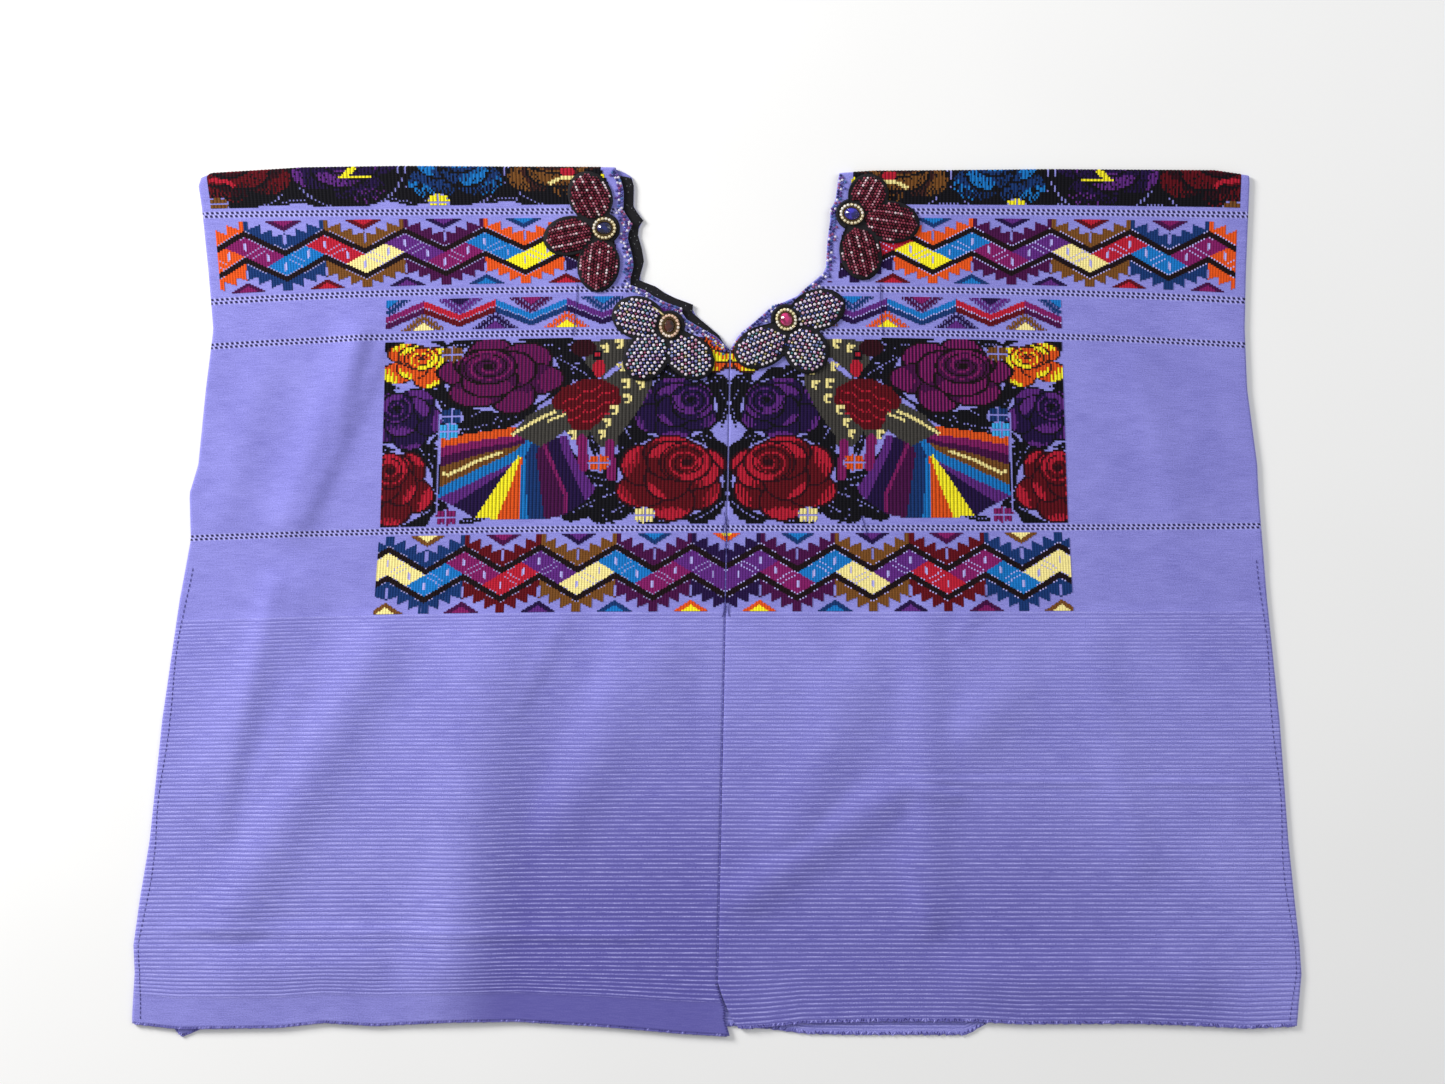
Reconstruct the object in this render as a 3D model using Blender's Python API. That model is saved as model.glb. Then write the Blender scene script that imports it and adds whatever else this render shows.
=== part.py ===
"""A huipil blouse laid flat, front up: two woven lengths folded at the shoulder and joined edge to edge.

The origin is on the surface it lies on, under the middle of its outline. +X runs across it, to the
right of someone who looks down on the front, +Y runs to the shoulder and +Z up. Sizes are in
millimetres, and every mesh is scaled to metres when it is made.
"""

import bpy
import numpy as np

MILLIMETRE = 0.001

# The cloth
WALL = 1.2
SEAM_GAP = 0.3
AIR_GAP = 0.8
NECK_LIFT = 1.3
NOSE_STEPS = 4
INNER_COLUMNS = 8
OUTER_COLUMNS = 5
EDGE_COLUMN = 8.0
BODY_ROW = 25.0
BACK_ROW = 44.0
SAG_POWER = 2.2
ARMHOLE_END = 45.0
SIDE_SEAM_FADE = 30.0
SIDE_SEAM_SHARE = 0.12
HEM_REACH = 70.0
FOLD_REACH = 30.0

# The opening for the head, seen from above: where the front stands over a facing on the back
NECK_CENTRE = (8.0, 300.0)
NECK_ZONE = (112.0, 132.0)
NECK_ZONE_END = 1.6
BACK_NECK_SHIFT = (8.0, 3.5)
BACK_NECK_FADE = (11.0, 30.0)

# Brocade stands proud of the plain ground, with a narrow slope around it
BROCADE_RISE = 0.5
BROCADE_SLOPE = 1.5
LEAST_ROW = 1.2
SHARP_ANGLE = 14.0

# The facing on the back's neck edge, and the beaded patches and stones on the front
FACING_WALL = 1.0
FACING_WIDTH = 17.0
FACING_TURN = (244.0, 282.0)
FACING_SLANT = np.radians(55.0)
PATCH_WALL = 1.0
PATCH_BORDER = 4.0
PATCH_DOME = 1.7
PATCH_CORE = 11.0
PATCH_CORE_SLOPE = 3.0
PATCH_WAIST = 12.5
PATCH_STEPS = 44
PATCH_RINGS = (0.0, 0.3, 0.55, 0.8, 1.0)
REST_GAP = 0.35
STONE_SIDES = 12
RING_BEADS = 12
RING_STEPS = 4
RING_HEIGHT = 2.6
RING_SHOULDER = 0.5
RING_DIP = 0.25
RING_SCALLOP = 0.7
STONE_HEIGHT = 4.4
STONE_GIRDLE = 0.45
STONE_TABLE = 0.55

# Outer edge of each length: y, x of the left one, x of the right one
SIDE_EDGES = (
    (346, -408, 422),
    (337, -414, 426),
    (313, -411, 425),
    (265, -406, 423),
    (217, -402, 422),
    (169, -408, 424),
    (109, -414, 432),
    (86, -421, 433),
    (49, -420, 436),
    (1, -429, 440),
    (-95, -443, 450),
    (-191, -453, 457),
    (-239, -461, 462),
    (-275, -466, 466),
    (-299, -465, 467.5),
    (-340, -467, 464),
)

# Inner edge of the left length, from the shoulder down: y, x
LEFT_EDGE = (
    (346.5, -82),
    (337.5, -76.5),
    (328, -74),
    (312, -74.4),
    (305, -70),
    (300.8, -66.4),
    (296, -70),
    (289, -70.8),
    (278, -67.6),
    (268, -66),
    (253, -70),
    (248, -56.6),
    (242.6, -49.2),
    (238.2, -39.6),
    (233.6, -26.8),
    (227.2, -27.2),
    (222.4, -19.9),
    (211.4, -0.4),
    (200.4, 10.8),
)
LEFT_VENT = (
    (-304.4, 0.4),
    (-316.6, 3.9),
    (-326.9, 7.2),
    (-334, 6.8),
)
LEFT_CORNER = (-347.5, 10.5)

# The same of the right length
RIGHT_EDGE = (
    (342, 98.2),
    (336, 97),
    (319, 94.8),
    (312, 90.3),
    (306, 91),
    (287, 88.4),
    (264, 87.3),
    (258, 81),
    (250.4, 71.4),
    (243.2, 64),
    (239.8, 57.5),
    (236.6, 45.2),
    (232.2, 40.7),
    (222.4, 29.8),
    (213.8, 18.8),
    (204, 12.4),
    (200.4, 11.1),
)
RIGHT_VENT = (
    (-304.4, 0.7),
    (-316, 4.5),
    (-325.6, 8.6),
    (-334, 12.5),
)
RIGHT_CORNER = (-341.5, 17.6)

# The seam between them: y, x
CENTRE_SEAM = (
    (200.4, 10.95),
    (67, 8.4),
    (-304.4, 0.55),
)

# The shoulder fold and the hems: x, y
LEFT_FOLD = (
    (-414, 337.5),
    (-403, 342),
    (-330, 346.5),
    (-253, 347.6),
    (-82, 346.5),
)
RIGHT_FOLD = (
    (98.2, 342),
    (125, 343.6),
    (267, 345),
    (398, 344.2),
    (426, 340),
)
LEFT_FRONT_HEM = (
    (-467, -337.5),
    (-430, -341.5),
    (-350, -340.5),
    (-314, -336.5),
    (-273, -339),
    (-212, -336),
    (-159, -335.5),
    (-92, -339.5),
    (-30, -345),
    (10.5, -347.5),
)
RIGHT_FRONT_HEM = (
    (17.6, -341.5),
    (41, -340),
    (68, -337),
    (131, -335.5),
    (205, -335.5),
    (243, -337.5),
    (333, -337),
    (378, -338.5),
    (423, -341),
    (464, -339.5),
)
LEFT_BACK_HEM = (
    (-467, -332),
    (-438, -334),
    (-428, -348.3),
    (-404, -338),
    (-380, -332),
    (10.5, -334),
)
RIGHT_BACK_HEM = (
    (17.6, -339.5),
    (41, -341.5),
    (72, -345.5),
    (106, -346.4),
    (200, -346.4),
    (218, -336),
    (240, -332),
    (464, -332),
)

# How far a line of the weave drops from the seam to the side: y at the seam, left drop, right drop
WEAVE_SAG = (
    (346, 5, 2),
    (310, 3, 3),
    (270, 9, 8),
    (215, 12, 11),
    (58, 8, -2),
    (-60, 6, 0),
    (-240, 2, 0),
    (-346, 0, 0),
)

# Bands of brocade: y of the top and bottom at the seam or neck edge, and whether they run to the sides
BROCADE_BANDS = (
    (360, 316.8, True),
    (306, 254.5, True),
    (243.5, 219.5, False),
    (211, 62, False),
    (54.4, -8, False),
)

# Where the bands that stop short end: y, x of the left end, x of the right end
BROCADE_ENDS = (
    (346, -262, 273),
    (243, -263.6, 275),
    (63, -269, 281),
    (-8, -274, 285),
    (-346, -296, 305),
)

# Soft folds in the front: start x and y, end x and y, half width, height
FRONT_FOLDS = (
    (-283, 222, -344, 55, 17, 4.2),
    (-262, -20, -392, -262, 24, 5.0),
    (-330, 20, -424, -170, 22, 2.6),
    (-170, -30, -216, -318, 34, 6.0),
    (-40, -22, -134, -190, 24, 3.6),
    (118, -48, 52, -204, 24, 3.2),
    (152, -146, 12, -244, 17, 3.6),
    (166, 0, 170, -262, 17, 3.2),
    (246, -60, 192, -118, 20, 2.2),
    (190, -302, 396, -306, 22, 2.6),
    (-402, -296, -262, -286, 22, 2.4),
)

# The patches: where their stone is (x, y), then three petals, each with its middle, its half
# length and half width, and the way that its length points, in degrees
PATCHES = {
    "upper_left": {
        "stone": (-89.4, 297.1),
        "petals": (
            (-100.7, 322.6, 21.0, 17.4, 116),
            (-117.6, 291.4, 20.8, 15.8, 192),
            (-94.0, 268.2, 21.6, 17.0, 264),
        ),
    },
    "upper_right": {
        "stone": (107.8, 308.6),
        "petals": (
            (121.2, 324.4, 16.6, 16.2, 62),
            (139.4, 302.6, 23.0, 16.8, 352),
            (115.0, 277.8, 22.0, 16.8, 284),
        ),
    },
    "lower_left": {
        "stone": (-37.5, 219.4),
        "petals": (
            (-62.6, 226.4, 21.0, 17.0, 168),
            (-56.0, 195.6, 21.0, 17.6, 234),
            (-21.6, 195.4, 21.6, 17.0, 322),
        ),
    },
    "lower_right": {
        "stone": (55.6, 224.5),
        "petals": (
            (80.6, 232.4, 22.6, 16.6, 14),
            (71.6, 200.4, 19.6, 17.6, 302),
            (36.2, 203.0, 23.2, 16.6, 204),
        ),
    },
}

# The set stones: half length and half width of the stone and of its ring, and its turn in degrees
STONES = {
    "upper_left": (5.9, 4.8, 9.8, 9.6, 0),
    "upper_right": (6.1, 4.7, 10.2, 9.0, -12),
    "lower_left": (5.3, 4.2, 10.2, 8.9, 90),
    "lower_right": (5.4, 4.8, 9.6, 8.9, 118),
}

# The finish of each patch's beads and of its stone
PATCH_FINISHES = {
    "upper_left": ("burgundy_beads", "dark_blue_glass"),
    "upper_right": ("burgundy_beads", "royal_blue_glass"),
    "lower_left": ("pale_beads", "garnet_glass"),
    "lower_right": ("pale_beads", "ruby_glass"),
}

# Colour (linear), roughness and metallic value of each kind of piece
FINISHES = {
    "lavender_cotton": ((0.30, 0.29, 0.73), 0.85, 0.0),
    "black_cloth": ((0.01, 0.01, 0.012), 0.8, 0.0),
    "burgundy_beads": ((0.07, 0.012, 0.02), 0.3, 0.0),
    "pale_beads": ((0.35, 0.33, 0.40), 0.3, 0.0),
    "gilt_beads": ((0.75, 0.62, 0.42), 0.25, 1.0),
    "dark_blue_glass": ((0.01, 0.012, 0.10), 0.05, 0.0),
    "royal_blue_glass": ((0.02, 0.01, 0.45), 0.05, 0.0),
    "garnet_glass": ((0.06, 0.008, 0.006), 0.05, 0.0),
    "ruby_glass": ((0.35, 0.005, 0.09), 0.05, 0.0),
}


def smooth_step(low, high, value):
    """0 below low and 1 above high, with an S between them."""
    t = np.clip((value - low) / (high - low), 0.0, 1.0)
    return t * t * (3.0 - 2.0 * t)


def read_table(table, at, column=1):
    """A table's column at the given places, straight between its rows."""
    rows = np.asarray(sorted(table), float)
    return np.interp(at, rows[:, 0], rows[:, column])


def fold_height(x, y):
    """How high the front's soft folds stand: a bell across each fold, fading at its ends."""
    height = np.zeros(np.broadcast(x, y).shape)
    for x0, y0, x1, y1, half_width, rise in FRONT_FOLDS:
        run = np.hypot(x1 - x0, y1 - y0)
        along = ((x - x0) * (x1 - x0) + (y - y0) * (y1 - y0)) / run
        across = ((x - x0) * (y1 - y0) - (y - y0) * (x1 - x0)) / run
        ends = smooth_step(-half_width, half_width, along)
        ends = ends * smooth_step(-half_width, half_width, run - along)
        bell = np.exp(-((across / half_width) ** 2))
        height = np.maximum(height, rise * ends * bell)
    return height


def front_height(x, y):
    """Top of the front layer away from its side seam."""
    reach = np.hypot((x - NECK_CENTRE[0]) / NECK_ZONE[0], (y - NECK_CENTRE[1]) / NECK_ZONE[1])
    lift = NECK_LIFT * (1.0 - smooth_step(1.0, NECK_ZONE_END, reach))
    return 2.0 * WALL + AIR_GAP + lift + fold_height(x, y)


def length_tables(side):
    """The tables of the left (-1) or right (+1) length: edge, vent, corner, fold, hems, column."""
    if side < 0:
        return LEFT_EDGE, LEFT_VENT, LEFT_CORNER, LEFT_FOLD, LEFT_FRONT_HEM, LEFT_BACK_HEM, 1
    return RIGHT_EDGE, RIGHT_VENT, RIGHT_CORNER, RIGHT_FOLD, RIGHT_FRONT_HEM, RIGHT_BACK_HEM, 2


def brocade_rows():
    """Heights of the weave lines at both sides of each band's top and bottom slope."""
    edges = [edge for high, low, _ in BROCADE_BANDS for edge in (high, low)]
    return [edge + step for edge in edges for step in (BROCADE_SLOPE / 2.0, -BROCADE_SLOPE / 2.0)]


def inner_edge(side, row_length, back):
    """Height and place of the inner edge at each row of one layer, from the shoulder to the hem."""
    edge, vent, corner, _, _, back_hem, _ = length_tables(side)
    below = CENTRE_SEAM[0][0]
    bottom = float(read_table(back_hem, 0.0)) if back else vent[0][0]
    seam_x = [(y, x + side * SEAM_GAP / 2.0) for y, x in CENTRE_SEAM[1:]]
    chain = list(edge) + seam_x + ([] if back else list(vent[1:]) + [corner])
    rows = int(round((below - bottom) / row_length))
    free = [row[0] for row in edge] + list(np.linspace(below, bottom, rows + 1)[1:])
    fixed = [] if back else [y for y in brocade_rows() if bottom < y < edge[0][0]]
    loose = [y for y in free[1:] if all(abs(y - other) > LEAST_ROW for other in fixed)]
    ends = [] if back else [row[0] for row in vent[1:]] + [corner[0]]
    heights = np.array(sorted([free[0]] + fixed + loose + ends, reverse=True))
    return heights, read_table(chain, heights)


def layer_grid(side, row_length, back):
    """One layer's points, a row for each height on its inner edge: x, y, height at the edge, column."""
    _, _, _, fold, front_hem, back_hem, column = length_tables(side)
    hem = back_hem if back else front_hem
    heights, places = inner_edge(side, row_length, back)
    start_y = heights[:, None]
    start_x = places[:, None]
    shoulder, lowest = heights[0], heights[-1]
    if back:
        above = shoulder - start_y
        below = start_y - CENTRE_SEAM[0][0]
        fade = smooth_step(0.0, BACK_NECK_FADE[0], above) * smooth_step(0.0, BACK_NECK_FADE[1], below)
        start_x = start_x + BACK_NECK_SHIFT[0] * fade
        start_y = start_y + BACK_NECK_SHIFT[1] * fade
    sag = read_table(WEAVE_SAG, start_y, column)
    end_x = read_table(SIDE_EDGES, start_y - sag, column)
    band_x = read_table(BROCADE_ENDS, start_y, column)
    slope = side * BROCADE_SLOPE / 2.0
    edge = side * EDGE_COLUMN
    inner = np.linspace(0.0, 1.0, INNER_COLUMNS)
    outer = np.linspace(0.0, 1.0, OUTER_COLUMNS)
    x = np.hstack([
        start_x,
        start_x + edge + (band_x - slope - start_x - edge) * inner,
        band_x + slope + (end_x - edge - band_x - slope) * outer,
        end_x,
    ])
    across = (x - start_x) / (end_x - start_x)
    near_fold = 1.0 - smooth_step(0.0, FOLD_REACH, shoulder - start_y)
    near_hem = 1.0 - smooth_step(0.0, HEM_REACH, start_y - lowest)
    weave = start_y - sag * across**SAG_POWER
    folded = start_y + read_table(fold, x) - read_table(fold, start_x)
    hemmed = start_y + read_table(hem, x) - read_table(hem, start_x)
    y = weave * (1.0 - near_fold) * (1.0 - near_hem) + folded * near_fold + hemmed * near_hem
    return x, y, start_y, across


def brocade_rise(start_y, columns):
    """How much each point of the front stands proud: on a band's rows, and within its ends."""
    column = np.arange(columns)
    whole = (column > 0) & (column < columns - 1)
    short = whole & (column <= INNER_COLUMNS)
    raised = np.zeros((len(start_y), columns), bool)
    for high, low, to_sides in BROCADE_BANDS:
        raised |= (start_y < high) & (start_y > low) & (whole if to_sides else short)
    return BROCADE_RISE * raised


def length_points(side):
    """Outer and inner points of one woven length, from the back's hem over the shoulder to the front's."""
    back_x, back_y, _, _ = layer_grid(side, BACK_ROW, True)
    front_x, front_y, start_y, across = layer_grid(side, BODY_ROW, False)
    top = front_height(front_x, front_y)
    seamed = smooth_step(0.0, SIDE_SEAM_FADE, ARMHOLE_END - front_y)
    seamed = seamed * smooth_step(1.0 - SIDE_SEAM_SHARE, 1.0, across)
    flat = 2.0 * WALL + SEAM_GAP
    top = top + (flat - top) * seamed
    rise = brocade_rise(start_y, front_x.shape[1])
    rise[0] = 0.0
    radius = top[0] / 2.0
    bore = radius - WALL
    turn = np.radians(np.linspace(-90.0, 90.0, NOSE_STEPS + 1))[1:-1, None]
    nose_x = np.repeat(front_x[:1], len(turn), axis=0)
    nose_y = front_y[:1] - radius
    level = np.zeros_like(nose_y)
    outer = np.concatenate([
        np.stack([back_x[:0:-1], back_y[:0:-1], np.zeros_like(back_x[1:])], axis=-1),
        np.stack([front_x[:1], nose_y, level], axis=-1),
        np.stack([nose_x, nose_y + radius * np.cos(turn), radius + radius * np.sin(turn)], axis=-1),
        np.stack([front_x[:1], nose_y, top[:1]], axis=-1),
        np.stack([front_x[1:], front_y[1:], top[1:] + rise[1:]], axis=-1),
    ])
    inner = np.concatenate([
        np.stack([back_x[:0:-1], back_y[:0:-1], np.full_like(back_x[1:], WALL)], axis=-1),
        np.stack([front_x[:1], nose_y, level + WALL], axis=-1),
        np.stack([nose_x, nose_y + bore * np.cos(turn), radius + bore * np.sin(turn)], axis=-1),
        np.stack([front_x[:1], nose_y, top[:1] - WALL], axis=-1),
        np.stack([front_x[1:], front_y[1:], top[1:] - WALL], axis=-1),
    ])
    return outer, inner


def grid_faces(first, rows, columns, flip=False, closed=False):
    """Quads over a grid of points that is stored row by row, starting at point first."""
    last = columns if closed else columns - 1
    row, column = np.meshgrid(np.arange(rows - 1), np.arange(last), indexing="ij")
    a = first + row * columns + column
    b = first + row * columns + (column + 1) % columns
    quads = np.stack([a, b, b + columns, a + columns], axis=-1).reshape(-1, 4)
    return quads[:, ::-1] if flip else quads


def strip_faces(one, other):
    """Quads between two chains of points of the same length."""
    return np.stack([one[:-1], one[1:], other[1:], other[:-1]], axis=-1)


def material(name, finish):
    """A Principled material in one kind of piece's finish."""
    colour, roughness, metallic = FINISHES[finish]
    made = bpy.data.materials.new(name)
    made.use_nodes = True
    surface = made.node_tree.nodes["Principled BSDF"]
    surface.inputs["Base Color"].default_value = (*colour, 1.0)
    surface.inputs["Roughness"].default_value = roughness
    surface.inputs["Metallic"].default_value = metallic
    return made


def add_piece(name, points, faces, finish):
    """An object from points in millimetres, with its faces pointing out."""
    points = np.asarray(points, float)
    faces = np.asarray(faces, dtype=object)
    corner = [points[list(face)] for face in faces]
    volume = sum(np.dot(c[0], np.cross(c[i], c[i + 1])) for c in corner for i in range(1, len(c) - 1))
    ordered = [tuple(int(i) for i in (face if volume > 0 else face[::-1])) for face in faces]
    mesh = bpy.data.meshes.new(name)
    mesh.from_pydata((points * MILLIMETRE).tolist(), [], ordered)
    mesh.materials.append(material(name, finish))
    mesh.shade_smooth()
    mesh.set_sharp_from_angle(angle=np.radians(SHARP_ANGLE))
    piece = bpy.data.objects.new(name, mesh)
    bpy.context.scene.collection.objects.link(piece)
    return piece


def add_length(name, side):
    """One woven length: its back, its shoulder fold and its front in a single wall."""
    outer, inner = length_points(side)
    rows, columns = outer.shape[:2]
    count = rows * columns
    index = np.arange(count).reshape(rows, columns)
    faces = np.vstack([
        grid_faces(0, rows, columns),
        grid_faces(count, rows, columns, flip=True),
        strip_faces(index[0], index[0] + count)[:, ::-1],
        strip_faces(index[-1], index[-1] + count),
        strip_faces(index[:, 0], index[:, 0] + count),
        strip_faces(index[:, -1], index[:, -1] + count)[:, ::-1],
    ])
    points = np.vstack([outer.reshape(-1, 3), inner.reshape(-1, 3)])
    return add_piece(name, points, faces, "lavender_cotton")


def add_facing(name):
    """The black strip on the inside of the back, along the left half of its neck edge."""
    x, y, _, _ = layer_grid(-1, BACK_ROW, True)
    neck = y[:, 0] > CENTRE_SEAM[0][0] + REST_GAP
    edge = np.column_stack([x[neck, 0], y[neck, 0]])
    edge[0, 1] -= FACING_WIDTH / 4.0
    turn = FACING_SLANT * (1.0 - smooth_step(*FACING_TURN, edge[:, 1]))
    far = edge - np.column_stack([np.cos(turn), np.sin(turn)]) * FACING_WIDTH
    low = WALL + SEAM_GAP
    high = low + FACING_WALL
    ring = [
        np.column_stack([edge, np.full(len(edge), low)]),
        np.column_stack([edge, np.full(len(edge), high)]),
        np.column_stack([far, np.full(len(edge), high)]),
        np.column_stack([far, np.full(len(edge), low)]),
    ]
    points = np.stack(ring, axis=1).reshape(-1, 3)
    sides = grid_faces(0, len(edge), 4, closed=True)
    last = 4 * (len(edge) - 1)
    ends = [(3, 2, 1, 0), (last, last + 1, last + 2, last + 3)]
    return add_piece(name, points, np.vstack([sides, ends]), "black_cloth")


def petal_reach(patch, angle):
    """How far the patch reaches from its stone in each direction: the farthest edge of any petal."""
    stone_x, stone_y = patch["stone"]
    reach = np.full(angle.shape, PATCH_WAIST)
    for x, y, half_length, half_width, turn in patch["petals"]:
        turn = np.radians(turn)
        dx, dy = stone_x - x, stone_y - y
        start_u = (dx * np.cos(turn) + dy * np.sin(turn)) / half_length
        start_v = (dy * np.cos(turn) - dx * np.sin(turn)) / half_width
        way_u = np.cos(angle - turn) / half_length
        way_v = np.sin(angle - turn) / half_width
        a = way_u**2 + way_v**2
        b = start_u * way_u + start_v * way_v
        c = start_u**2 + start_v**2 - 1.0
        root = b * b - a * c
        far = (-b + np.sqrt(np.maximum(root, 0.0))) / a
        reach = np.where(root > 0.0, np.maximum(reach, far), reach)
    return reach


def petal_dome(patch, x, y):
    """Height of the padded beadwork over the patch's border, 0 to 1: a dome on each petal."""
    height = np.zeros(x.shape)
    for centre_x, centre_y, half_length, half_width, turn in patch["petals"]:
        turn = np.radians(turn)
        dx, dy = x - centre_x, y - centre_y
        u = (dx * np.cos(turn) + dy * np.sin(turn)) / (half_length - PATCH_BORDER)
        v = (dy * np.cos(turn) - dx * np.sin(turn)) / (half_width - PATCH_BORDER)
        height = np.maximum(height, np.sqrt(np.clip(1.0 - u * u - v * v, 0.0, 1.0)))
    away = np.hypot(x - patch["stone"][0], y - patch["stone"][1])
    return height * smooth_step(PATCH_CORE, PATCH_CORE + PATCH_CORE_SLOPE, away)


def add_patch(name, patch, finish):
    """A black patch of three petals, padded with beads inside its border, lying on the front."""
    angle = np.linspace(0.0, 2.0 * np.pi, PATCH_STEPS, endpoint=False)
    reach = petal_reach(patch, angle)
    stone_x, stone_y = patch["stone"]
    out = PATCH_CORE + (reach - PATCH_CORE) * np.array(PATCH_RINGS)[:, None]
    x = stone_x + out * np.cos(angle)
    y = stone_y + out * np.sin(angle)
    low = front_height(x, y) + BROCADE_RISE + REST_GAP
    high = low + PATCH_WALL + PATCH_DOME * petal_dome(patch, x, y)
    centre_low = front_height(stone_x, stone_y) + BROCADE_RISE + REST_GAP
    top = np.stack([x, y, high], axis=-1).reshape(-1, 3)
    bottom = np.stack([x, y, low], axis=-1).reshape(-1, 3)
    middle = [(stone_x, stone_y, centre_low + PATCH_WALL), (stone_x, stone_y, centre_low)]
    rings = len(PATCH_RINGS)
    count = rings * PATCH_STEPS
    step = np.arange(PATCH_STEPS)
    after = (step + 1) % PATCH_STEPS
    rim = count - PATCH_STEPS
    faces = [
        *grid_faces(0, rings, PATCH_STEPS, flip=True, closed=True),
        *grid_faces(count, rings, PATCH_STEPS, closed=True),
        *np.column_stack([step, after, np.full(PATCH_STEPS, 2 * count)]),
        *np.column_stack([count + after, count + step, np.full(PATCH_STEPS, 2 * count + 1)]),
        *np.column_stack([rim + after, rim + step, count + rim + step, count + rim + after]),
    ]
    return add_piece(name, np.vstack([top, bottom, middle]), faces, finish)


def oval(half_length, half_width, turn, steps):
    """X and Y around an oval with its long side turned."""
    angle = np.linspace(0.0, 2.0 * np.pi, steps, endpoint=False)
    u = half_length * np.cos(angle)
    v = half_width * np.sin(angle)
    turn = np.radians(turn)
    return np.stack([u * np.cos(turn) - v * np.sin(turn), u * np.sin(turn) + v * np.cos(turn)], axis=-1)


def seat_height(place):
    """Underside of the ring and stone that sit on a patch."""
    x = place[0] + np.array([-PATCH_CORE, 0.0, PATCH_CORE, 0.0, 0.0])
    y = place[1] + np.array([0.0, -PATCH_CORE, 0.0, PATCH_CORE, 0.0])
    return float(front_height(x, y).max()) + BROCADE_RISE + REST_GAP + PATCH_WALL + SEAM_GAP


def add_stone(name, place, size, finish):
    """A faceted oval stone: an upright girdle, a slanted crown and a flat table."""
    half_length, half_width, _, _, turn = size
    base = seat_height(place)
    levels = ((1.0, 0.0), (1.0, STONE_GIRDLE), (STONE_TABLE, 1.0))
    rings = []
    for share, rise in levels:
        ring = oval(half_length * share, half_width * share, turn, STONE_SIDES) + place
        rings.append(np.column_stack([ring, np.full(STONE_SIDES, base + rise * STONE_HEIGHT)]))
    points = np.vstack(rings)
    last = len(points) - STONE_SIDES
    faces = [
        *grid_faces(0, len(levels), STONE_SIDES, closed=True),
        np.arange(STONE_SIDES)[::-1],
        last + np.arange(STONE_SIDES),
    ]
    return add_piece(name, points, faces, finish)


def add_ring(name, place, size):
    """The ring of large beads that holds a stone, scalloped around its outside."""
    half_length, half_width, ring_length, ring_width, turn = size
    base = seat_height(place)
    steps = RING_BEADS * RING_STEPS
    angle = np.linspace(0.0, 2.0 * np.pi, steps, endpoint=False)
    bead = np.abs(np.sin(angle * RING_BEADS / 2.0))[:, None]
    inside = oval(half_length + SEAM_GAP, half_width + SEAM_GAP, turn, steps)
    outside = oval(ring_length - RING_SCALLOP, ring_width - RING_SCALLOP, turn, steps)
    outside = outside * (1.0 + bead * RING_SCALLOP / ring_length)
    middle = (inside + outside) / 2.0
    high = base + RING_HEIGHT * (1.0 - RING_DIP * (1.0 - bead))
    low = np.full((steps, 1), base)
    shoulder = low + RING_HEIGHT * RING_SHOULDER
    section = [
        np.hstack([inside + place, low]),
        np.hstack([outside + place, low]),
        np.hstack([outside + place, shoulder]),
        np.hstack([middle + place, high]),
        np.hstack([inside + place, shoulder]),
    ]
    points = np.vstack(section)
    faces = [
        *grid_faces(0, len(section), steps, closed=True),
        *np.stack([
            (len(section) - 1) * steps + np.arange(steps),
            (len(section) - 1) * steps + (np.arange(steps) + 1) % steps,
            (np.arange(steps) + 1) % steps,
            np.arange(steps),
        ], axis=-1),
    ]
    return add_piece(name, points, faces, "gilt_beads")


def main():
    for thing in list(bpy.data.objects):
        bpy.data.objects.remove(thing)
    add_length("left_web", -1)
    add_length("right_web", 1)
    add_facing("neck_facing")
    for place, patch in PATCHES.items():
        beads, glass = PATCH_FINISHES[place]
        add_patch(f"patch_{place}", patch, beads)
        add_stone(f"stone_{place}", patch["stone"], STONES[place], glass)
        add_ring(f"ring_{place}", patch["stone"], STONES[place])


main()
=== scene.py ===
"""A huipil blouse laid flat, front up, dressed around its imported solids.

Sizes are in millimetres in the object's own frame, and every mesh is scaled to metres when it is
made: +X runs across, +Y to the shoulder and +Z up. A place on a woven length is given by its weave
coordinates: x, and v, the height at which a weft line leaves the neck edge or the centre seam. Past
the shoulder fold v runs on, over the fold and down the back to its hem.
"""

import bpy
import numpy as np
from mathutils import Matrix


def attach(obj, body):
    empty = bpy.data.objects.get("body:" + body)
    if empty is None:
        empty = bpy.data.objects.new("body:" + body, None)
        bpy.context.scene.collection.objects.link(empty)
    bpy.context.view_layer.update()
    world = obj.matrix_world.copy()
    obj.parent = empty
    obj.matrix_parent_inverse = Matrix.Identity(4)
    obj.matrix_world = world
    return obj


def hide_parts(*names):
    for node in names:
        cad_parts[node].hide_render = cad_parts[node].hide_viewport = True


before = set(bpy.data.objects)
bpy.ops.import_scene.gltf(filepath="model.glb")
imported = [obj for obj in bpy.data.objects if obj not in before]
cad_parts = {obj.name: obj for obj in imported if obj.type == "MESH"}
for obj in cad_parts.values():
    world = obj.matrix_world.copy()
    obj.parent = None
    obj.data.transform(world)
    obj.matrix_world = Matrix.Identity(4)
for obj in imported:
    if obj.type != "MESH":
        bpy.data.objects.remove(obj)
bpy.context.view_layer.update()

MILLIMETRE = 0.001

# The cloth, as in the part's source
CAD_WALL = 1.2
SEAM_GAP = 0.3
AIR_GAP = 0.8
NECK_LIFT = 1.3
SAG_POWER = 2.2
ARMHOLE_END = 45.0
SIDE_SEAM_FADE = 30.0
SIDE_SEAM_SHARE = 0.12
HEM_REACH = 70.0
FOLD_REACH = 30.0
NECK_CENTRE = (8.0, 300.0)
NECK_ZONE = (112.0, 132.0)
NECK_ZONE_END = 1.6
BACK_NECK_SHIFT = (8.0, 3.5)
BACK_NECK_FADE = (11.0, 30.0)
BROCADE_RISE = 0.5
REST_GAP = 0.35

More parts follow.
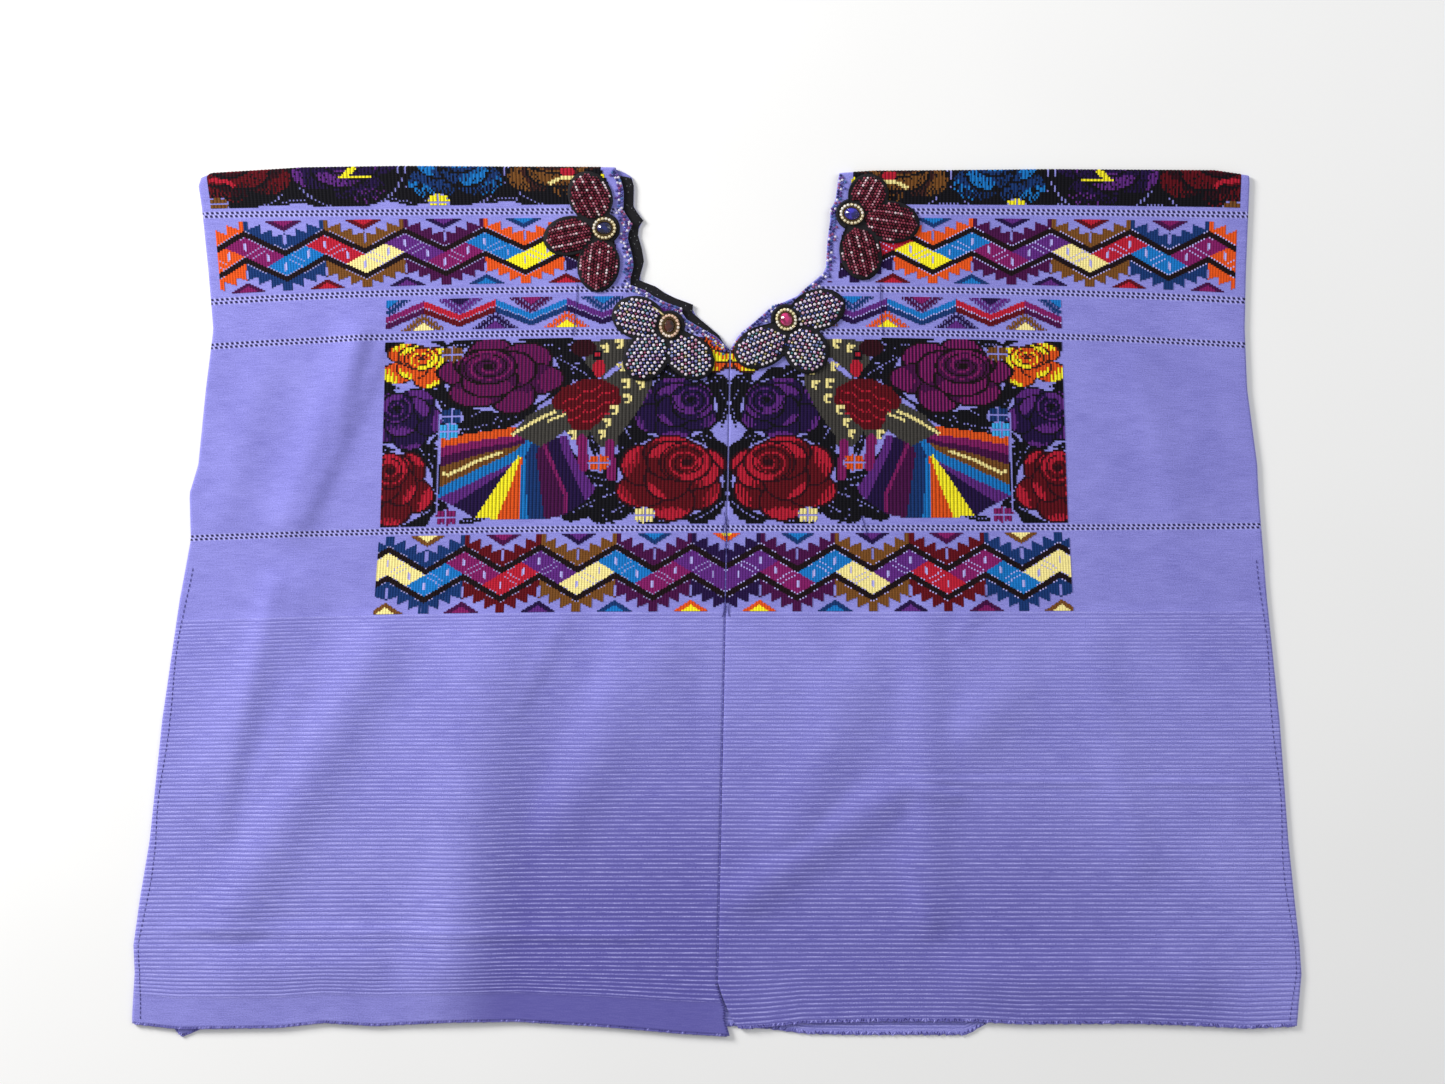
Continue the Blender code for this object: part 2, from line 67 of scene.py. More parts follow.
# The cloth that shows: its wall, its underside, and the half circle that it takes over the shoulder
WALL = 1.0
BACK_LEVEL = 0.5
FOLD_RADIUS = 1.9
FOLD_ARC = np.pi * FOLD_RADIUS

# The beaded patches and the facing of the neck, as in the part's source
PATCH_WALL = 1.0
PATCH_BORDER = 4.0
PATCH_DOME = 1.7
PATCH_CORE = 11.0
PATCH_CORE_SLOPE = 3.0
PATCH_WAIST = 12.5
FACING_WALL = 1.0
FACING_WIDTH = 17.0
FACING_TURN = (244.0, 282.0)
FACING_SLANT = np.radians(55.0)
STONE_HEIGHT = 4.4

# Outer edge of each length: y, x of the left one, x of the right one
SIDE_EDGES = (
    (346, -408, 422), (337, -414, 426), (313, -411, 425), (265, -406, 423), (217, -402, 422),
    (169, -408, 424), (109, -414, 432), (86, -421, 433), (49, -420, 436), (1, -429, 440),
    (-95, -443, 450), (-191, -453, 457), (-239, -461, 462), (-275, -466, 466), (-299, -465, 467.5),
    (-340, -467, 464),
)

# Inner edge of the left length, from the shoulder down: y, x
LEFT_EDGE = (
    (346.5, -82), (337.5, -76.5), (328, -74), (312, -74.4), (305, -70), (300.8, -66.4), (296, -70),
    (289, -70.8), (278, -67.6), (268, -66), (253, -70), (248, -56.6), (242.6, -49.2), (238.2, -39.6),
    (233.6, -26.8), (227.2, -27.2), (222.4, -19.9), (211.4, -0.4), (200.4, 10.8),
)
LEFT_VENT = (
    (-304.4, 0.4), (-316.6, 3.9), (-326.9, 7.2), (-334, 6.8),
)
LEFT_CORNER = (-347.5, 10.5)

# The same of the right length
RIGHT_EDGE = (
    (342, 98.2), (336, 97), (319, 94.8), (312, 90.3), (306, 91), (287, 88.4), (264, 87.3), (258, 81),
    (250.4, 71.4), (243.2, 64), (239.8, 57.5), (236.6, 45.2), (232.2, 40.7), (222.4, 29.8),
    (213.8, 18.8), (204, 12.4), (200.4, 11.1),
)
RIGHT_VENT = (
    (-304.4, 0.7), (-316, 4.5), (-325.6, 8.6), (-334, 12.5),
)
RIGHT_CORNER = (-341.5, 17.6)

# The seam between them: y, x
CENTRE_SEAM = (
    (200.4, 10.95), (67, 8.4), (-304.4, 0.55),
)

# The shoulder fold and the hems: x, y
LEFT_FOLD = (
    (-414, 337.5), (-403, 342), (-330, 346.5), (-253, 347.6), (-82, 346.5),
)
RIGHT_FOLD = (
    (98.2, 342), (125, 343.6), (267, 345), (398, 344.2), (426, 340),
)
LEFT_FRONT_HEM = (
    (-467, -337.5), (-430, -341.5), (-350, -340.5), (-314, -336.5), (-273, -339), (-212, -336),
    (-159, -335.5), (-92, -339.5), (-30, -345), (10.5, -347.5),
)
RIGHT_FRONT_HEM = (
    (17.6, -341.5), (41, -340), (68, -337), (131, -335.5), (205, -335.5), (243, -337.5), (333, -337),
    (378, -338.5), (423, -341), (464, -339.5),
)
LEFT_BACK_HEM = (
    (-467, -332), (-438, -334), (-428, -348.3), (-404, -338), (-380, -332), (10.5, -334),
)
RIGHT_BACK_HEM = (
    (17.6, -339.5), (41, -341.5), (72, -345.5), (106, -346.4), (200, -346.4), (218, -336), (240, -332),
    (464, -332),
)

# How far a line of the weave drops from the seam to the side: y at the seam, left drop, right drop
WEAVE_SAG = (
    (346, 5, 2), (310, 3, 3), (270, 9, 8), (215, 12, 11), (58, 8, -2), (-60, 6, 0), (-240, 2, 0),
    (-346, 0, 0),
)

# Where the bands that stop short end: y, x of the left end, x of the right end
BROCADE_ENDS = (
    (346, -262, 273), (243, -263.6, 275), (63, -269, 281), (-8, -274, 285), (-346, -296, 305),
)

# Soft folds in the front: start x and y, end x and y, half width, height
FRONT_FOLDS = (
    (-283, 222, -344, 55, 17, 4.2), (-262, -20, -392, -262, 24, 5.0), (-330, 20, -424, -170, 22, 2.6),
    (-170, -30, -216, -318, 34, 6.0), (-40, -22, -134, -190, 24, 3.6), (118, -48, 52, -204, 24, 3.2),
    (152, -146, 12, -244, 17, 3.6), (166, 0, 170, -262, 17, 3.2), (246, -60, 192, -118, 20, 2.2),
    (190, -302, 396, -306, 22, 2.6), (-402, -296, -262, -286, 22, 2.4),
)

# The patches: where their stone is (x, y), then three petals, each with its middle, its half
# length and half width, and the way that its length points, in degrees
PATCHES = {
    "upper_left": {
        "stone": (-89.4, 297.1),
        "petals": (
            (-100.7, 322.6, 21.0, 17.4, 116),
            (-117.6, 291.4, 20.8, 15.8, 192),
            (-94.0, 268.2, 21.6, 17.0, 264),
        ),
    },
    "upper_right": {
        "stone": (107.8, 308.6),
        "petals": (
            (121.2, 324.4, 16.6, 16.2, 62),
            (139.4, 302.6, 23.0, 16.8, 352),
            (115.0, 277.8, 22.0, 16.8, 284),
        ),
    },
    "lower_left": {
        "stone": (-37.5, 219.4),
        "petals": (
            (-62.6, 226.4, 21.0, 17.0, 168),
            (-56.0, 195.6, 21.0, 17.6, 234),
            (-21.6, 195.4, 21.6, 17.0, 322),
        ),
    },
    "lower_right": {
        "stone": (55.6, 224.5),
        "petals": (
            (80.6, 232.4, 22.6, 16.6, 14),
            (71.6, 200.4, 19.6, 17.6, 302),
            (36.2, 203.0, 23.2, 16.6, 204),
        ),
    },
}

# The set stones: half length and half width of the stone and of its ring, and its turn in degrees
STONES = {
    "upper_left": (5.9, 4.8, 9.8, 9.6, 0),
    "upper_right": (6.1, 4.7, 10.2, 9.0, -12),
    "lower_left": (5.3, 4.2, 10.2, 8.9, 90),
    "lower_right": (5.4, 4.8, 9.6, 8.9, 118),
}

# Finer creases between the soft folds: start x and y, end x and y, half width, height
CREASES = (
    (-283, 215, -300, 130, 7, 2.0), (-262, 208, -330, 62, 5, 1.5), (-352, 20, -398, -190, 9, 2.0),
    (-222, 18, -252, -96, 9, 1.6), (-120, -10, -166, -96, 8, 1.3), (-330, -60, -368, -150, 8, 1.2),
    (228, 40, 190, -40, 9, 1.5), (148, -146, 196, -158, 7, 1.5), (-440, -262, -60, -268, 6, 1.0),
    (-292, -268, -258, -261, 3, 1.1), (150, -143, 440, -146, 4, 0.9), (-360, 190, -396, 60, 14, 1.3),
    (330, 200, 372, 60, 15, 1.5), (300, -20, 340, -220, 16, 1.7), (60, 20, 90, -80, 12, 1.1),
    (-60, 10, -92, -90, 12, 1.2), (152, -205, 172, -262, 5, 1.3), (166, -228, 171, -270, 3, 0.8),
    (-206, -20, -232, -190, 42, 4.2), (-30, -30, -48, -120, 20, 1.3), (200, -30, 214, -120, 26, 1.9),
)

# Corded weft ribs: the weft line they start at, their step there and how it grows to the hem, their
# height, the share of it that the first has and the rib from which it is full
CORDS_START = -8.5
CORD_STEP = 2.98
CORD_GROWTH = 0.00255
CORD_HEIGHT = 0.24
CORD_FIRST = 0.65
CORDS_FULL = 75.0

# The cloth's grid: rows to a cord on the front and the back, the level between two cords, the plain
# cloth left above each length's hem and the step of its rows, the step of the rows above the cords,
# the columns, the rows over the shoulder, and how many outer rows of the cords an inner row spans
FRONT_CORD_ROWS = (0.0, 0.3, 0.7)
BACK_CORD_ROWS = (0.0, 0.5)
CORD_HOLLOW = -0.05
PLAIN_HEM = {-1: 25.0, 1: 0.0}
HEM_ROW = 2.5
GROUND_ROW = 4.6
GROUND_COLUMNS = 76
BEND_ROWS = 6
INNER_EVERY = 6

# The rounding of the cloth's long edges: two more columns, its reach as a share of the way across,
# and its drop
EDGE_COLUMNS = (0.004, 0.996)
EDGE_REACH = 0.002
EDGE_DROP = 0.25

# Rows of small openings between the bands: the weft line of each pair, how far each of the two is
# from it and shifted sideways, the lean of the threads between, and the step from hole to hole
OPENWORK = (311.4, 249.0, 215.2, 58.2)
OPEN_ROWS = ((1.3, 0.0), (-1.3, 2.0))
OPEN_LEAN = 0.45
OPEN_STEP = 4.0

# Millimetres from thread to thread of the plain cloth and of the brocade, and of the facing's twill
# in metres
WARP_PITCH = 0.72
WEFT_PITCH = 0.86
BROCADE_PITCH = 1.5
TWILL_PITCH = 0.0011


def smooth_step(low, high, value):
    """0 below low and 1 above high, with an S between them."""
    t = np.clip((value - low) / (high - low), 0.0, 1.0)
    return t * t * (3.0 - 2.0 * t)


def read_table(table, at, column=1):
    """A table's column at the given places, straight between its rows."""
    rows = np.asarray(sorted(table), float)
    return np.interp(at, rows[:, 0], rows[:, column])


def turned(dx, dy, degrees):
    """An offset's parts along and across a direction that is given in degrees."""
    turn = np.radians(degrees)
    return dx * np.cos(turn) + dy * np.sin(turn), dy * np.cos(turn) - dx * np.sin(turn)


def beside_line(x, y, x0, y0, x1, y1):
    """A line's length, and how far points lie along it and to its right."""
    run = np.hypot(x1 - x0, y1 - y0)
    along = ((x - x0) * (x1 - x0) + (y - y0) * (y1 - y0)) / run
    across = ((x - x0) * (y1 - y0) - (y - y0) * (x1 - x0)) / run
    return run, along, across


def run_of(path):
    """How far along a path, seen from above, each of its points is."""
    return np.concatenate([[0.0], np.cumsum(np.hypot(*np.diff(path[:, :2], axis=0).T))])


def neck_fade(shoulder, v):
    """Share of its shift that the back's neck edge has: none at the shoulder and at the centre seam."""
    fade = smooth_step(0.0, BACK_NECK_FADE[0], shoulder - v)
    return fade * smooth_step(0.0, BACK_NECK_FADE[1], v - CENTRE_SEAM[0][0])


def fold_height(x, y, folds):
    """How high soft folds stand: a bell across each fold, fading at its ends."""
    height = np.zeros(np.broadcast(x, y).shape)
    for x0, y0, x1, y1, half_width, rise in folds:
        run, along, across = beside_line(x, y, x0, y0, x1, y1)
        ends = smooth_step(-half_width, half_width, along)
        ends = ends * smooth_step(-half_width, half_width, run - along)
        bell = np.exp(-((across / half_width) ** 2))
        height = np.maximum(height, rise * ends * bell)
    return height


def solid_front(x, y):
    """Top of the front layer of the part's own solid."""
    reach = np.hypot((x - NECK_CENTRE[0]) / NECK_ZONE[0], (y - NECK_CENTRE[1]) / NECK_ZONE[1])
    lift = NECK_LIFT * (1.0 - smooth_step(1.0, NECK_ZONE_END, reach))
    return 2.0 * CAD_WALL + AIR_GAP + lift + fold_height(x, y, FRONT_FOLDS)


def front_top(x, y, across):
    """Top of the shown front: the solid's, its finer creases, and down to the back at the side seam."""
    top = solid_front(x, y) + fold_height(x, y, CREASES)
    seamed = smooth_step(0.0, SIDE_SEAM_FADE, ARMHOLE_END - y)
    seamed = seamed * smooth_step(1.0 - SIDE_SEAM_SHARE, 1.0, across)
    return top + (2.0 * CAD_WALL + SEAM_GAP - top) * seamed


# How far a band that runs to the sides, and one that stops short, reaches from the middle on the
# pattern; how far a band drops on its way to the side, and how far short of it the stitches end
PATTERN_REACH = {True: 416.0, False: 275.0}
SIDE_DROP = 8.0
SIDE_CLEAR = 3.0


class Length:
    """One woven length, the left (-1) or the right (+1), as a surface over its weave coordinates."""

    def __init__(self, side):
        tables = (
            (LEFT_EDGE, LEFT_VENT, LEFT_CORNER, LEFT_FOLD, LEFT_FRONT_HEM, LEFT_BACK_HEM, 1)
            if side < 0
            else (RIGHT_EDGE, RIGHT_VENT, RIGHT_CORNER, RIGHT_FOLD, RIGHT_FRONT_HEM, RIGHT_BACK_HEM, 2)
        )
        self.side = side
        self.name = "left" if side < 0 else "right"
        self.edge, vent, corner, self.fold, self.front_hem, self.back_hem, self.column = tables
        seam = [(y, x + side * SEAM_GAP / 2.0) for y, x in CENTRE_SEAM[1:]]
        self.back_chain = list(self.edge) + seam
        self.front_chain = self.back_chain + list(vent[1:]) + [corner]
        self.shoulder = self.edge[0][0]
        self.turn = self.shoulder - FOLD_RADIUS
        self.front_bottom = corner[0]
        self.back_bottom = float(read_table(self.back_hem, 0.0))
        self.top = self.turn + FOLD_ARC / 2.0
        self.mirror = 2.0 * self.turn + FOLD_ARC
        self.back_end = self.mirror - self.back_bottom

    def plan(self, v, back, across=None, x=None):
        """Seen from above: x, y and the share of the way across of a point of one layer."""
        chain = self.back_chain if back else self.front_chain
        hem = self.back_hem if back else self.front_hem
        lowest = self.back_bottom if back else self.front_bottom
        start_x = read_table(chain, v)
        start_y = v
        if back:
            fade = neck_fade(self.shoulder, v)
            start_x = start_x + BACK_NECK_SHIFT[0] * fade
            start_y = start_y + BACK_NECK_SHIFT[1] * fade
        sag = read_table(WEAVE_SAG, start_y, self.column)
        end_x = read_table(SIDE_EDGES, start_y - sag, self.column)
        if x is None:
            x = start_x + (end_x - start_x) * across
        else:
            across = np.clip((x - start_x) / (end_x - start_x), 0.0, 1.0)
        near_fold = 1.0 - smooth_step(0.0, FOLD_REACH, self.shoulder - start_y)
        near_hem = 1.0 - smooth_step(0.0, HEM_REACH, start_y - lowest)
        weave = start_y - sag * across**SAG_POWER
        folded = start_y + read_table(self.fold, x) - read_table(self.fold, start_x)
        hemmed = start_y + read_table(hem, x) - read_table(hem, start_x)
        y = weave * (1.0 - near_fold) * (1.0 - near_hem) + folded * near_fold + hemmed * near_hem
        return x, y, across

    def place(self, v, across=None, x=None, lift=0.0):
        """Points lifted off the front's top, half an oval over the shoulder and the back's underside."""
        over = v - self.turn
        past = np.clip(over / FOLD_ARC, 0.0, 1.0)
        front_x, front_y, share = self.plan(np.minimum(v, self.turn), False, across, x)
        back_x, back_y, _ = self.plan(self.turn - np.maximum(over - FOLD_ARC, 0.0), True, across, x)
        half = (front_top(front_x, front_y, share) - BACK_LEVEL) / 2.0
        flat_x = front_x + (back_x - front_x) * past
        flat_y = front_y + (back_y - front_y) * past
        y = flat_y + (FOLD_RADIUS + lift) * np.sin(past * np.pi)
        z = BACK_LEVEL + half + (half + lift) * np.cos(past * np.pi)
        return np.stack(np.broadcast_arrays(flat_x, y, z), axis=-1)

    def front_line(self, v):
        """The line of the front that a weft line of the back mirrors over the shoulder."""
        return np.where(v > self.top, self.mirror - v, v)

    def axis(self, v):
        """x of the line that the pattern mirrors about: the seam, and straight on above it."""
        return read_table(CENTRE_SEAM, self.front_line(v))

    def end_scale(self, v, to_sides):
        """Millimetres of cloth for one of the pattern, which is drawn alike for both lengths."""
        v = self.front_line(v)
        if to_sides:
            reach = read_table(SIDE_EDGES, v - SIDE_DROP, self.column)
            return (np.abs(reach - self.axis(v)) - SIDE_CLEAR) / PATTERN_REACH[True]
        reach = read_table(BROCADE_ENDS, v, self.column)
        return np.abs(reach - self.axis(v)) / PATTERN_REACH[False]


# Meshes
def strip(one, other):
    """Quads between two chains of points of the same length."""
    return np.stack([one[:-1], one[1:], other[1:], other[:-1]], axis=-1)


def grid(first, rows, columns, flip=False, closed=False):
    """Quads over a grid of points that is stored row by row, starting at point first."""
    last = columns if closed else columns - 1
    row, column = np.meshgrid(np.arange(rows - 1), np.arange(last), indexing="ij")
    a = first + row * columns + column
    b = first + row * columns + (column + 1) % columns
    quads = np.stack([a, b, b + columns, a + columns], axis=-1).reshape(-1, 4)
    return quads[:, ::-1] if flip else quads


def end_fans(sides, last):
    """Triangles that close the first ring of a tube and the last, which starts at point last."""
    ring = np.arange(sides)
    fan = np.column_stack([np.zeros(sides - 2, int), ring[1:-1], ring[2:]])
    return np.vstack([fan[:, ::-1], fan + last])


def add_piece(name, points, faces, finish, smooth=True, uv=None, values=None, colours=None):
    """A piece on the root body from points in millimetres and arrays of triangles and quads.

    uv and values hold a number or two for each point; colours holds a colour for each face.
    """
    points = np.asarray(points, float).reshape(-1, 3)
    faces = [np.asarray(group, np.int64) for group in faces if len(group)]
    counts = np.concatenate([np.full(len(group), group.shape[1]) for group in faces])
    loops = np.concatenate([group.ravel() for group in faces])
    mesh = bpy.data.meshes.new(name)
    mesh.vertices.add(len(points))
    mesh.vertices.foreach_set("co", (points * MILLIMETRE).ravel())
    mesh.loops.add(len(loops))
    mesh.loops.foreach_set("vertex_index", loops)
    mesh.polygons.add(len(counts))
    mesh.polygons.foreach_set("loop_start", np.concatenate([[0], np.cumsum(counts)[:-1]]))
    mesh.polygons.foreach_set("use_smooth", np.full(len(counts), smooth))
    if uv is not None:
        layer = mesh.uv_layers.new(name="weave")
        layer.data.foreach_set("uv", np.asarray(uv, float).reshape(-1, 2)[loops].ravel())
    for key, value in (values or {}).items():
        layer = mesh.attributes.new(key, "FLOAT", "POINT")
        layer.data.foreach_set("value", np.asarray(value, float).ravel())
    if colours is not None:
        layer = mesh.attributes.new("thread", "FLOAT_COLOR", "CORNER")
        rgba = np.column_stack([np.asarray(colours, float), np.ones(len(colours))])
        layer.data.foreach_set("color", np.repeat(rgba, counts, axis=0).ravel())
    mesh.update(calc_edges=True)
    mesh.materials.append(finish)
    piece = bpy.data.objects.new(name, mesh)
    bpy.context.scene.collection.objects.link(piece)
    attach(piece, "root")
    return piece


# Finishes
class Wire:
    """One output of a material's nodes; arithmetic on it adds Math nodes."""

    def __init__(self, tree, socket=None):
        self.tree = tree
        self.socket = socket

    def node(self, kind, settings=None, sockets=None, output=0):
        """A node of any type: its settings first, then the values or links of its sockets."""
        made = self.tree.nodes.new(kind)
        for key, value in (settings or {}).items():
            setattr(made, key, value)
        for key, value in (sockets or {}).items():
            if isinstance(value, Wire):
                self.tree.links.new(value.socket, made.inputs[key])
            elif isinstance(value, tuple) and len(value) == 3 and made.inputs[key].type == "RGBA":
                made.inputs[key].default_value = (*value, 1.0)
            else:
                made.inputs[key].default_value = value
        return Wire(self.tree, made.outputs[output])

    def math(self, operation, *values):
        return self.node("ShaderNodeMath", {"operation": operation}, dict(enumerate(values)))

    def __add__(self, other):
        return self.math("ADD", self, other)

    def __sub__(self, other):
        return self.math("SUBTRACT", self, other)

    def __rsub__(self, other):
        return self.math("SUBTRACT", other, self)

    def __mul__(self, other):
        return self.math("MULTIPLY", self, other)

    def __truediv__(self, other):
        return self.math("DIVIDE", self, other)

    __radd__ = __add__
    __rmul__ = __mul__

    def rise(self, low, high):
        """0 below low and 1 above high, with an S between them; the other way if low is above high."""
        if low > high:
            return 1.0 - self.rise(high, low)
        settings = {"interpolation_type": "SMOOTHSTEP"}
        return self.node("ShaderNodeMapRange", settings, {0: self, 1: low, 2: high})

    def mixed(self, one, other):
        """Two colours mixed by this value."""
        return self.node("ShaderNodeMix", {"data_type": "RGBA"}, {0: self, 6: one, 7: other}, 2)

    def noise(self, place, scale, detail=2.0):
        """Soft noise of 0 to 1 over a place."""
        sockets = {"Vector": place, "Scale": scale, "Detail": detail}
        return self.node("ShaderNodeTexNoise", None, sockets)

    def noise_with(self, other, scale, detail=2.0):
        """Soft noise over the plane of this value and another."""
        plane = self.node("ShaderNodeCombineXYZ", None, {0: self, 1: other})
        return self.noise(plane, scale, detail)

    def wave(self, period):
        """A sine of 0 to 1."""
        return self.math("SINE", self * (2.0 * np.pi / period)) * 0.5 + 0.5

    def parts(self):
        """X and Y of a vector."""
        return [self.node("ShaderNodeSeparateXYZ", None, {0: self}, index) for index in (0, 1)]

    def weave(self):
        """The weave coordinates, x and v."""
        return self.node("ShaderNodeUVMap", {"uv_map": "weave"}).parts()

    def place(self):
        """The object's own coordinates."""
        return self.node("ShaderNodeTexCoord", None, None, 3)

    def number(self, name):
        """A number that the mesh holds for each point."""
        return self.node("ShaderNodeAttribute", {"attribute_name": name}, None, 2)

    def shaded_thread(self, shade):
        """The colour that the mesh holds for each face, scaled by a shade."""
        thread = self.node("ShaderNodeAttribute", {"attribute_name": "thread"}, None, 0)
        return self.node("ShaderNodeVectorMath", {"operation": "SCALE"}, {0: thread, 3: shade})

    def bump(self, height, distance, strength):
        """A normal from a height of 0 to 1, in metres of distance."""
        sockets = {"Height": height, "Distance": distance, "Strength": strength}
        return self.node("ShaderNodeBump", None, sockets)


def new_finish(name, constants):
    """An empty Principled finish: its own sockets' constants, and a wire to start its nodes with."""
    made = bpy.data.materials.new(name)
    made.use_nodes = True
    surface = made.node_tree.nodes["Principled BSDF"]
    for key, value in constants.items():
        surface.inputs[key].default_value = value
    return made, surface, Wire(made.node_tree)


def join(wire, surface, **links):
    """Links wires to the surface's sockets."""
    for key, value in links.items():
        wire.tree.links.new(value.socket, surface.inputs[key.replace("_", " ")])


LAVENDER = (0.252, 0.246, 0.705)
LAVENDER_DEEP = (0.158, 0.152, 0.520)
LAVENDER_LIGHT = (0.350, 0.343, 0.870)
# Painted light and shade: the shade low in the middle of the front, the highlight on the cords and their
# crossings, and the shade in the grooves and in the openings
PAINTED_LOWER_SHADE = (0.104, 0.092, 0.395)
LAVENDER_PAINTED_HIGHLIGHT = (0.520, 0.510, 0.960)
PAINTED_GROOVE_SHADE = (0.095, 0.084, 0.380)
PAINTED_OPENING_SHADE = (0.014, 0.010, 0.060)


def lavender_finish():
    """Plain and corded lavender cotton with rows of small openings, on the weave coordinates, with painted
    highlights and painted shade.
    """
    constants = {"Sheen Weight": 0.1, "Sheen Roughness": 0.6, "Specular IOR Level": 0.2}
    made, surface, wire = new_finish("lavender_cotton", constants)
    x, v = wire.weave()
    cord = wire.number("cord")
    corded = cord.rise(0.02, 0.2) * (cord.rise(5.0, CORDS_FULL) * 0.35 + 0.78)
    phase = wire.math("FRACT", cord)
    streak = (x * 0.07).noise_with(v * 1.3, 1.0, 3.0)
    yarns = (x * 1.3).noise_with(v * 1.5, 0.8)
    cloud = x.noise_with(v, 0.012)
    patchy = x.noise_with(v * 2.0, 0.05, 3.0)
    # Painted shade in the groove between cords and a painted highlight on each cord's crown, stronger
    # towards the hem
    groove = (phase.rise(0.76, 0.96) + phase.rise(0.06, 0.0)) * corded
    ridge_highlight = wire.math("ABSOLUTE", phase - 0.3).rise(0.24, 0.04) * corded
    # The openings: painted shade in each hole, and a painted highlight on the threads crossing between the
    # holes
    open_mask = crossing_highlight = 0.0
    for line in OPENWORK:
        for row, shift in OPEN_ROWS:
            slant = (x + (v - line) * OPEN_LEAN + shift) / OPEN_STEP
            across = wire.math("ABSOLUTE", wire.math("FRACT", slant) - 0.5) * OPEN_STEP
            along = wire.math("ABSOLUTE", v - (line + row))
            open_mask = open_mask + across.rise(1.3, 0.75) * along.rise(1.15, 0.6)
            crossing_highlight = crossing_highlight + across.rise(1.1, 1.7) * along.rise(1.9, 1.0)
    tone = (streak * 0.55 + yarns * 1.0 + cloud * 0.4 + patchy * 0.25 - 1.1).rise(-0.45, 0.45)
    colour = tone.mixed(LAVENDER_DEEP, LAVENDER_LIGHT)
    # Painted shade: darker over the lower middle of the front, less so right of the seam
    hollow = v.rise(-40.0, -290.0) * (x + v * -0.16).rise(-180.0, -110.0)
    hollow = hollow * (x + v * 0.75).rise(250.0, 60.0)
    colour = (hollow * (0.92 - x.rise(-20.0, 50.0) * 0.27)).mixed(colour, PAINTED_LOWER_SHADE)
    # Mixes in the painted highlight on the cords and their crossings, then the painted shade in the grooves
    # and the openings
    colour = (ridge_highlight * (streak * 1.2 + yarns * 1.2 - 0.82).rise(0.0, 1.0)).mixed(colour, LAVENDER_PAINTED_HIGHLIGHT)
    colour = (groove * (patchy * 0.9 + streak * 0.9 - 0.34).rise(0.0, 1.0)).mixed(colour, PAINTED_GROOVE_SHADE)
    colour = (crossing_highlight * 0.75).mixed(colour, LAVENDER_PAINTED_HIGHLIGHT)
    colour = wire.math("MINIMUM", open_mask, 1.0).mixed(colour, PAINTED_OPENING_SHADE)
    threads = x.wave(WARP_PITCH) * 0.35 + v.wave(WEFT_PITCH) * 0.65
    height = threads * (1.0 - groove * 0.6) + yarns * 0.6 - open_mask * 2.0
    normal = wire.bump(height, 0.00022, 0.75)
    join(wire, surface, Base_Color=colour, Roughness=yarns * 0.15 + 0.75, Normal=normal)
    return made


def thread_finish():
    """Brocade yarn in each stitch's own colour, with painted shade between the ribs and a fine twist."""
    made, surface, wire = new_finish("brocade_yarn", {"Specular IOR Level": 0.12})
    rib = wire.number("rib")
    x, v = wire.weave()
    fibre = (x * 2.4).noise_with(v, 1.6)
    patchy = x.noise_with(v, 0.35)
    # Painted shade: each stitch darker towards the groove between ribs; fibre and patchy vary its tone at
    # random
    shade = rib.rise(-0.08, 0.62) * 0.74 + 0.26 + (fibre - 0.5) * 0.5 + (patchy - 0.5) * 0.35
    colour = wire.shaded_thread(shade)
    normal = wire.bump(v.wave(BROCADE_PITCH) * 0.5 + fibre * 0.8, 0.00025, 0.7)
    join(wire, surface, Base_Color=colour, Roughness=fibre * 0.2 + 0.7, Normal=normal)
    return made


def black_finish():
    """Black twill with a faint diagonal, on the object's own coordinates."""
    made, surface, wire = new_finish("black_cloth", {"Specular IOR Level": 0.15})
    x, y = wire.place().parts()
    twill = (x + y).wave(TWILL_PITCH)
    grain = wire.noise(wire.place(), 900.0)
    colour = (grain * 0.6 + twill * 0.4).mixed((0.004, 0.004, 0.005), (0.022, 0.021, 0.026))
    normal = wire.bump(twill * 0.5 + grain * 0.6, 0.0003, 0.8)
    join(wire, surface, Base_Color=colour, Roughness=grain * 0.2 + 0.62, Normal=normal)
    return made


def bead_finish():
    """Glass beads and rhinestones, each in its own colour, with a clear coat."""
    constants = {"Coat Weight": 0.4, "Coat Roughness": 0.06, "Metallic": 0.35}
    made, surface, wire = new_finish("glass_beads", constants)
    fire = wire.noise(wire.place(), 700.0, 1.0)
    colour = wire.shaded_thread(fire * 0.9 + 0.6)
    join(wire, surface, Base_Color=colour, Roughness=fire * 0.2 + 0.06)
    return made


def gilt_finish():
    """Pale gilt metal with fine wear."""
    made, surface, wire = new_finish("pale_gilt", {"Metallic": 1.0})
    worn = wire.noise(wire.place(), 260.0, 3.0)
    colour = worn.mixed((0.05, 0.028, 0.012), (0.30, 0.20, 0.09))
    join(wire, surface, Base_Color=colour, Roughness=worn * 0.25 + 0.22)
    return made


def glass_finish(name, deep, bright):
    """Dark set glass: a deep colour that clears here and there."""
    constants = {"Roughness": 0.11, "Specular IOR Level": 0.6, "Coat Weight": 0.8}
    made, surface, wire = new_finish(name, constants)
    depth = wire.noise(wire.place(), 190.0, 1.0).rise(0.4, 0.62)
    join(wire, surface, Base_Color=depth.mixed(deep, bright))
    return made


def floor_finish():
    """Plain pale paper."""
    made, surface, wire = new_finish("pale_floor", {"Roughness": 0.9, "Specular IOR Level": 0.1})
    grain = wire.noise(wire.place(), 6.0, 1.0)
    join(wire, surface, Base_Color=grain.mixed((0.90, 0.90, 0.90), (0.93, 0.93, 0.93)))
    return made


# The woven lengths
def cord_lines(top, bottom):
    """Weft lines between the ribs, from top to bottom, their step growing towards the hem."""
    lines = [top]
    while lines[-1] > bottom:
        lines.append(lines[-1] - CORD_STEP - CORD_GROWTH * (CORDS_START - lines[-1]))
    return np.array(lines[:-1])


